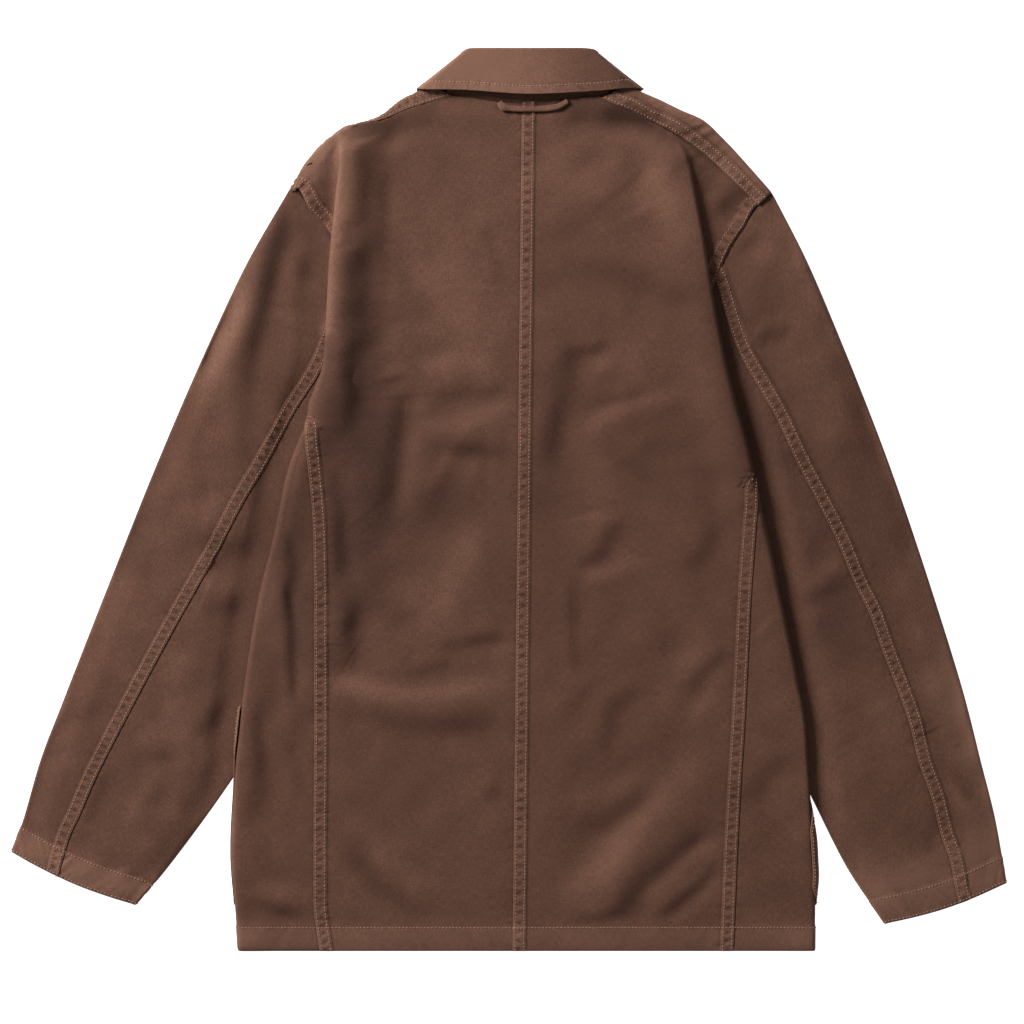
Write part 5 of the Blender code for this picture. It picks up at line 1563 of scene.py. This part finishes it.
    # The patch pocket lies under the front and comes round its folded side.
    inw = side["inward"]
    outside = front.outer()
    levels = np.linspace(POCKET_TOP, POCKET_BOTTOM, 88)
    rows = []
    for y in levels:
        fold = float(fold_x(side, y))
        near = (np.abs(outside[..., 1] - y) < 3) & (np.abs(outside[..., 0] - fold) < 9)
        high, far = outside[..., 2][near].max() + 0.95, (-inw * outside[..., 0][near]).max() + 0.95
        if word == "right":
            round_it = mix(0.3, 1.0, smooth((-256 - y) / 34)) * mix(0.5, 1.0, smooth((y + 351) / 15))
            far += 2.6 * smooth((-262 - y) / 40) * smooth((y + 353) / 30)
        else:
            corner = smooth((-177 - y) / 4) * smooth((y + 246) / 46)
            round_it = 0.42 + 0.3 * corner
            far += 1.5 * corner
        low = 0.6 + (Z_OVER - Z_TABLE) * float(lift(side, np.array(fold + inw * 9.0), y))
        deep = (high - low) / 2
        middle_x = -inw * far + inw * (deep + 0.4)
        x = np.linspace(fold + inw * POCKET_WIDTH, middle_x, 58)[:-1]
        z = 0.6 + (Z_OVER - Z_TABLE) * lift(side, x + inw * 6, y)
        z = mix(z, low, smooth(1 - np.abs(x - middle_x) / 12))
        a = math.pi * (np.linspace(0, 1, 20) * round_it - 0.5)
        x = np.concatenate([x, middle_x - inw * (deep + 0.4) * np.cos(a)])
        z = np.concatenate([z, (high + low) / 2 + deep * np.sin(a)])
        rows.append(np.stack([x, np.full_like(x, y), z], 1))
    pocket = Panel(f"cloth_pocket_{word}", rows)
    pocket.sign = -pocket.sign
    pocket.set_normals(True)
    pocket.rise -= 0.25
    for which, width in (("top", 22.0), ("bottom", 7.0), ("first", 7.0)):
        pd, ps, ptotal = pocket.distance(which, 30)
        pocket.rise -= 0.12 * np.exp(-(((pd - width) / 0.8) ** 2))
        pocket.fade += 0.3 * np.exp(-((pd / 1.2) ** 2))
        stitches.run(*pocket.line_at(pd, 2.0 if which != "top" else 20.0, which), seed + 31)

    pd, ps, ptotal = pocket.distance("last", 20)
    # Its edge is paler where it has rubbed; its raised part, round the front's fold, is painted lighter, as painted
    # light.
    pocket.fade += 0.3 * np.exp(-((pd / 1.2) ** 2)) + 0.3 * smooth((pocket.p[..., 2] - 3) / 2)
    stitches.run(*pocket.line_at(pd, 2.0, "last"), seed + 33, only=lambda at: at[2] > 5)

    threads = stitches.build(f"stitches_{word}", thread)
    declare(back, f"back_{word}")
    declare(front, f"front_{word}")
    declare(panels["top"], f"sleeve_{word}_top")
    declare(panels["under"], f"sleeve_{word}_under")
    declare(pocket, f"pocket_{word}")

# The collar.
count = 16
steps = np.array([0, 1, 2, 3, 4, 5, 6, 7, 8, 9, 10, 11, 12, 13, 14, 15, 16], float)
spacing = np.hypot(np.diff(COLLAR["x_fall"]), np.diff(COLLAR["y_fall"])) + 6
length = np.concatenate([[0.0], np.cumsum(spacing)])
places = np.interp(np.linspace(0, length[-1], 331), length, steps)
collar = Panel("cloth_collar", [collar_row(at_row(COLLAR, v)) for v in places])
middle = collar.p.shape[0] // 2
collar.sign = 1.0 if collar.n[middle, -5, 2] * collar.sign > 0 else -1.0
collar.sign = collar.sign if (collar.n[middle, -5, 2] > 0) == (collar.sign > 0) else collar.sign
collar.set_normals(True)
if collar.n[middle, -5, 2] < 0:
    collar.sign = -collar.sign
    collar.set_normals(True)
upper = smooth((collar.p[..., 2] - 6.4) / 1.6)
cx, cy = collar.p[..., 0], collar.p[..., 1]
tilt = np.clip((393.0 - cy) / 38.0, 0, 1)
ends = smooth((cx + 84) / 26) * smooth((118 - cx) / 26)
lifted = upper * (1.0 + 4.2 * tilt * ends + 0.9 * waviness(cx, cy - 900) + 0.5 * np.sin(0.055 * cx + 0.4) * tilt)
# The collar's fall is painted lighter, more towards its left end where the light comes from, as painted light.
add_relief(collar, (lifted, upper * (0.50 + 0.08 * np.sin(0.03 * cx) - 0.0085 * (cx - 10))))
cd, cs, ctotal = collar.distance("last")
collar.rise += 0.3 * (1 - smooth((cd - 6.6) / 1.4))
collar.rise -= 0.3 * np.exp(-(((cd - 7.0) / 0.8) ** 2))
collar.fade += 0.20 * np.exp(-((cd / 1.3) ** 2)) + 0.12 * (1 - smooth((cd - 6.6) / 1.4))
collar.pucker(cd, cs, ctotal, 4.2, 0.34, 7.0, 401, 0.5)
nd, ns, ntotal = collar.distance("first")
collar.extend("first", 2.2, 4)
collar.rise += 1.35 * (1 - smooth((nd - 1.5) / 4.0)) * smooth((collar.p[..., 2] - 4.4) / 1.0)
stitches = Thread()
stitches.run(*collar.line_at(cd, 7.0, "last"), 402)
# The neck's stand keeps a row of stitches near its seam too.
stitches.run(*collar.line_at(nd, 2.2, "first"), 403, only=lambda at: at[2] > 4)
threads = stitches.build("stitches_collar", thread)
declare(collar, "collar")


def hanger():
    """The loop: a narrow tube of the same cloth, pressed flat, its left end turned back under the neck seam."""
    t = dense(HANGER)
    count, around = 90, 20
    u = np.linspace(0, 1, count)
    x, y = along(t, u)
    z = Z_MIDDLE + 0.6 + GAP + 3.6 + 0.35 * np.sin(7 * u) + 0.25 * np.sin(17 * u + 1)
    ax, ay = along(t, np.minimum(u + 0.01, 1))
    bx, by = along(t, np.maximum(u - 0.01, 0))
    tx, ty = ax - bx, ay - by
    size = np.hypot(tx, ty)
    tx, ty = tx / size, ty / size
    knob = np.exp(-(((u - 0.09) / 0.05) ** 2))
    half = 2.5 + 0.22 * np.sin(11 * u) + 1.0 * knob - 0.3 * np.exp(-(((u - 0.18) / 0.03) ** 2))
    high = 1.35 + 0.12 * np.sin(9 * u + 2) + 0.6 * knob
    points = []
    for wall in (0.0, 0.55):
        for k in range(count):
            for j in range(around):
                a = 2 * math.pi * j / around
                c = math.copysign(abs(math.cos(a)) ** 0.75, math.cos(a))
                s = math.copysign(abs(math.sin(a)) ** 0.75, math.sin(a))
                crease = -0.35 * math.exp(-(((c - 0.45) / 0.14) ** 2)) if s > 0 else 0.0
                w, h = half[k] - wall, high[k] - wall
                points.append((x[k] - ty[k] * w * c, y[k] + tx[k] * w * c, z[k] + h * s + crease * (wall == 0)))
    points = np.array(points) * MM
    faces, inside = [], count * around
    for k in range(count - 1):
        for j in range(around):
            a, b = k * around + j, k * around + (j + 1) % around
            faces.append((a, a + around, b + around, b))
            faces.append((inside + a, inside + b, inside + b + around, inside + a + around))
    for j in range(around):
        a, b = j, (j + 1) % around
        faces.append((a, b, inside + b, inside + a))
        a, b = (count - 1) * around + a, (count - 1) * around + b
        faces.append((b, a, inside + a, inside + b))
    mesh = bpy.data.meshes.new("cloth_hanger_loop")
    mesh.from_pydata(points.tolist(), [], faces)
    mesh.update()
    mesh.shade_smooth()
    layer = mesh.uv_layers.new(name="UVMap")
    corner = np.zeros(len(mesh.loops), np.int32)
    mesh.loops.foreach_get("vertex_index", corner)
    uv = np.stack([np.repeat(u, around) * 0.062, np.tile(np.arange(around), count) / around * 0.012], 1)
    uv = np.concatenate([uv, uv])
    layer.data.foreach_set("uv", uv[corner].astype(np.float32).ravel())
    # The whole loop is painted lighter, as painted light where it stands up into the light.
    mesh.attributes.new("fade", "FLOAT", "POINT").data.foreach_set("value", np.full(len(points), 0.34, np.float32))
    mesh.materials.append(twill)
    made = bpy.data.objects.new("cloth_hanger_loop", mesh)
    bpy.context.scene.collection.objects.link(made)
    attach(made, "root")
    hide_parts("hanger_loop")


hanger()

for obj in bpy.data.objects:
    if "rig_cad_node" in obj and obj["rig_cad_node"].startswith("button"):
        obj.data.materials.clear()
        obj.data.materials.append(button_finish)


# --- floor, light and camera ----------------------------------------------------------------------------------


def studio():
    mesh = bpy.data.meshes.new("floor")
    half = 6.0
    mesh.from_pydata([(-half, -half, 0), (half, -half, 0), (half, half, 0), (-half, half, 0)], [], [(0, 1, 2, 3)])
    floor = bpy.data.objects.new("floor", mesh)
    floor.location.z = -0.0002
    bpy.context.scene.collection.objects.link(floor)
    pale = bpy.data.materials.new("pale_floor")
    pale.use_nodes = True
    shader = pale.node_tree.nodes["Principled BSDF"]
    shader.inputs["Base Color"].default_value = (0.93, 0.93, 0.93, 1)
    shader.inputs["Emission Color"].default_value = (1, 1, 1, 1)
    shader.inputs["Emission Strength"].default_value = 1.0
    shader.inputs["Roughness"].default_value = 0.9
    shader.inputs["Specular IOR Level"].default_value = 0.1
    mesh.materials.append(pale)

    world = bpy.data.worlds.new("studio")
    world.use_nodes = True
    world.node_tree.nodes["Background"].inputs["Color"].default_value = (1, 1, 1, 1)
    world.node_tree.nodes["Background"].inputs["Strength"].default_value = 0.16
    bpy.context.scene.world = world

    def lamp(name, at, size, energy):
        data = bpy.data.lights.new(name, "AREA")
        data.shape = "DISK"
        data.size, data.energy = size, energy
        data.color = (1.0, 0.985, 0.965)
        made = bpy.data.objects.new(name, data)
        made.location = at
        made.rotation_mode = "QUATERNION"
        made.rotation_quaternion = (-Vector(at)).to_track_quat("-Z", "Y")
        bpy.context.scene.collection.objects.link(made)

    lamp("key", (-2.2, 1.65, 1.6), 1.2, 150)
    lamp("fill", (1.6, -0.6, 2.6), 2.0, 5)

    data = bpy.data.cameras.new("camera")
    data.lens, data.sensor_width = 120, 36
    data.clip_end = 50
    camera = bpy.data.objects.new("camera", data)
    camera.location = ((512 - 508.5) * PIXEL * MM, (500.5 - 512) * PIXEL * MM, 0.89088 * 120 / 36 + 0.006)
    bpy.context.scene.collection.objects.link(camera)
    bpy.context.scene.camera = camera
    bpy.context.scene.view_settings.view_transform = "Standard"
    bpy.context.scene.view_settings.look = "None"


studio()
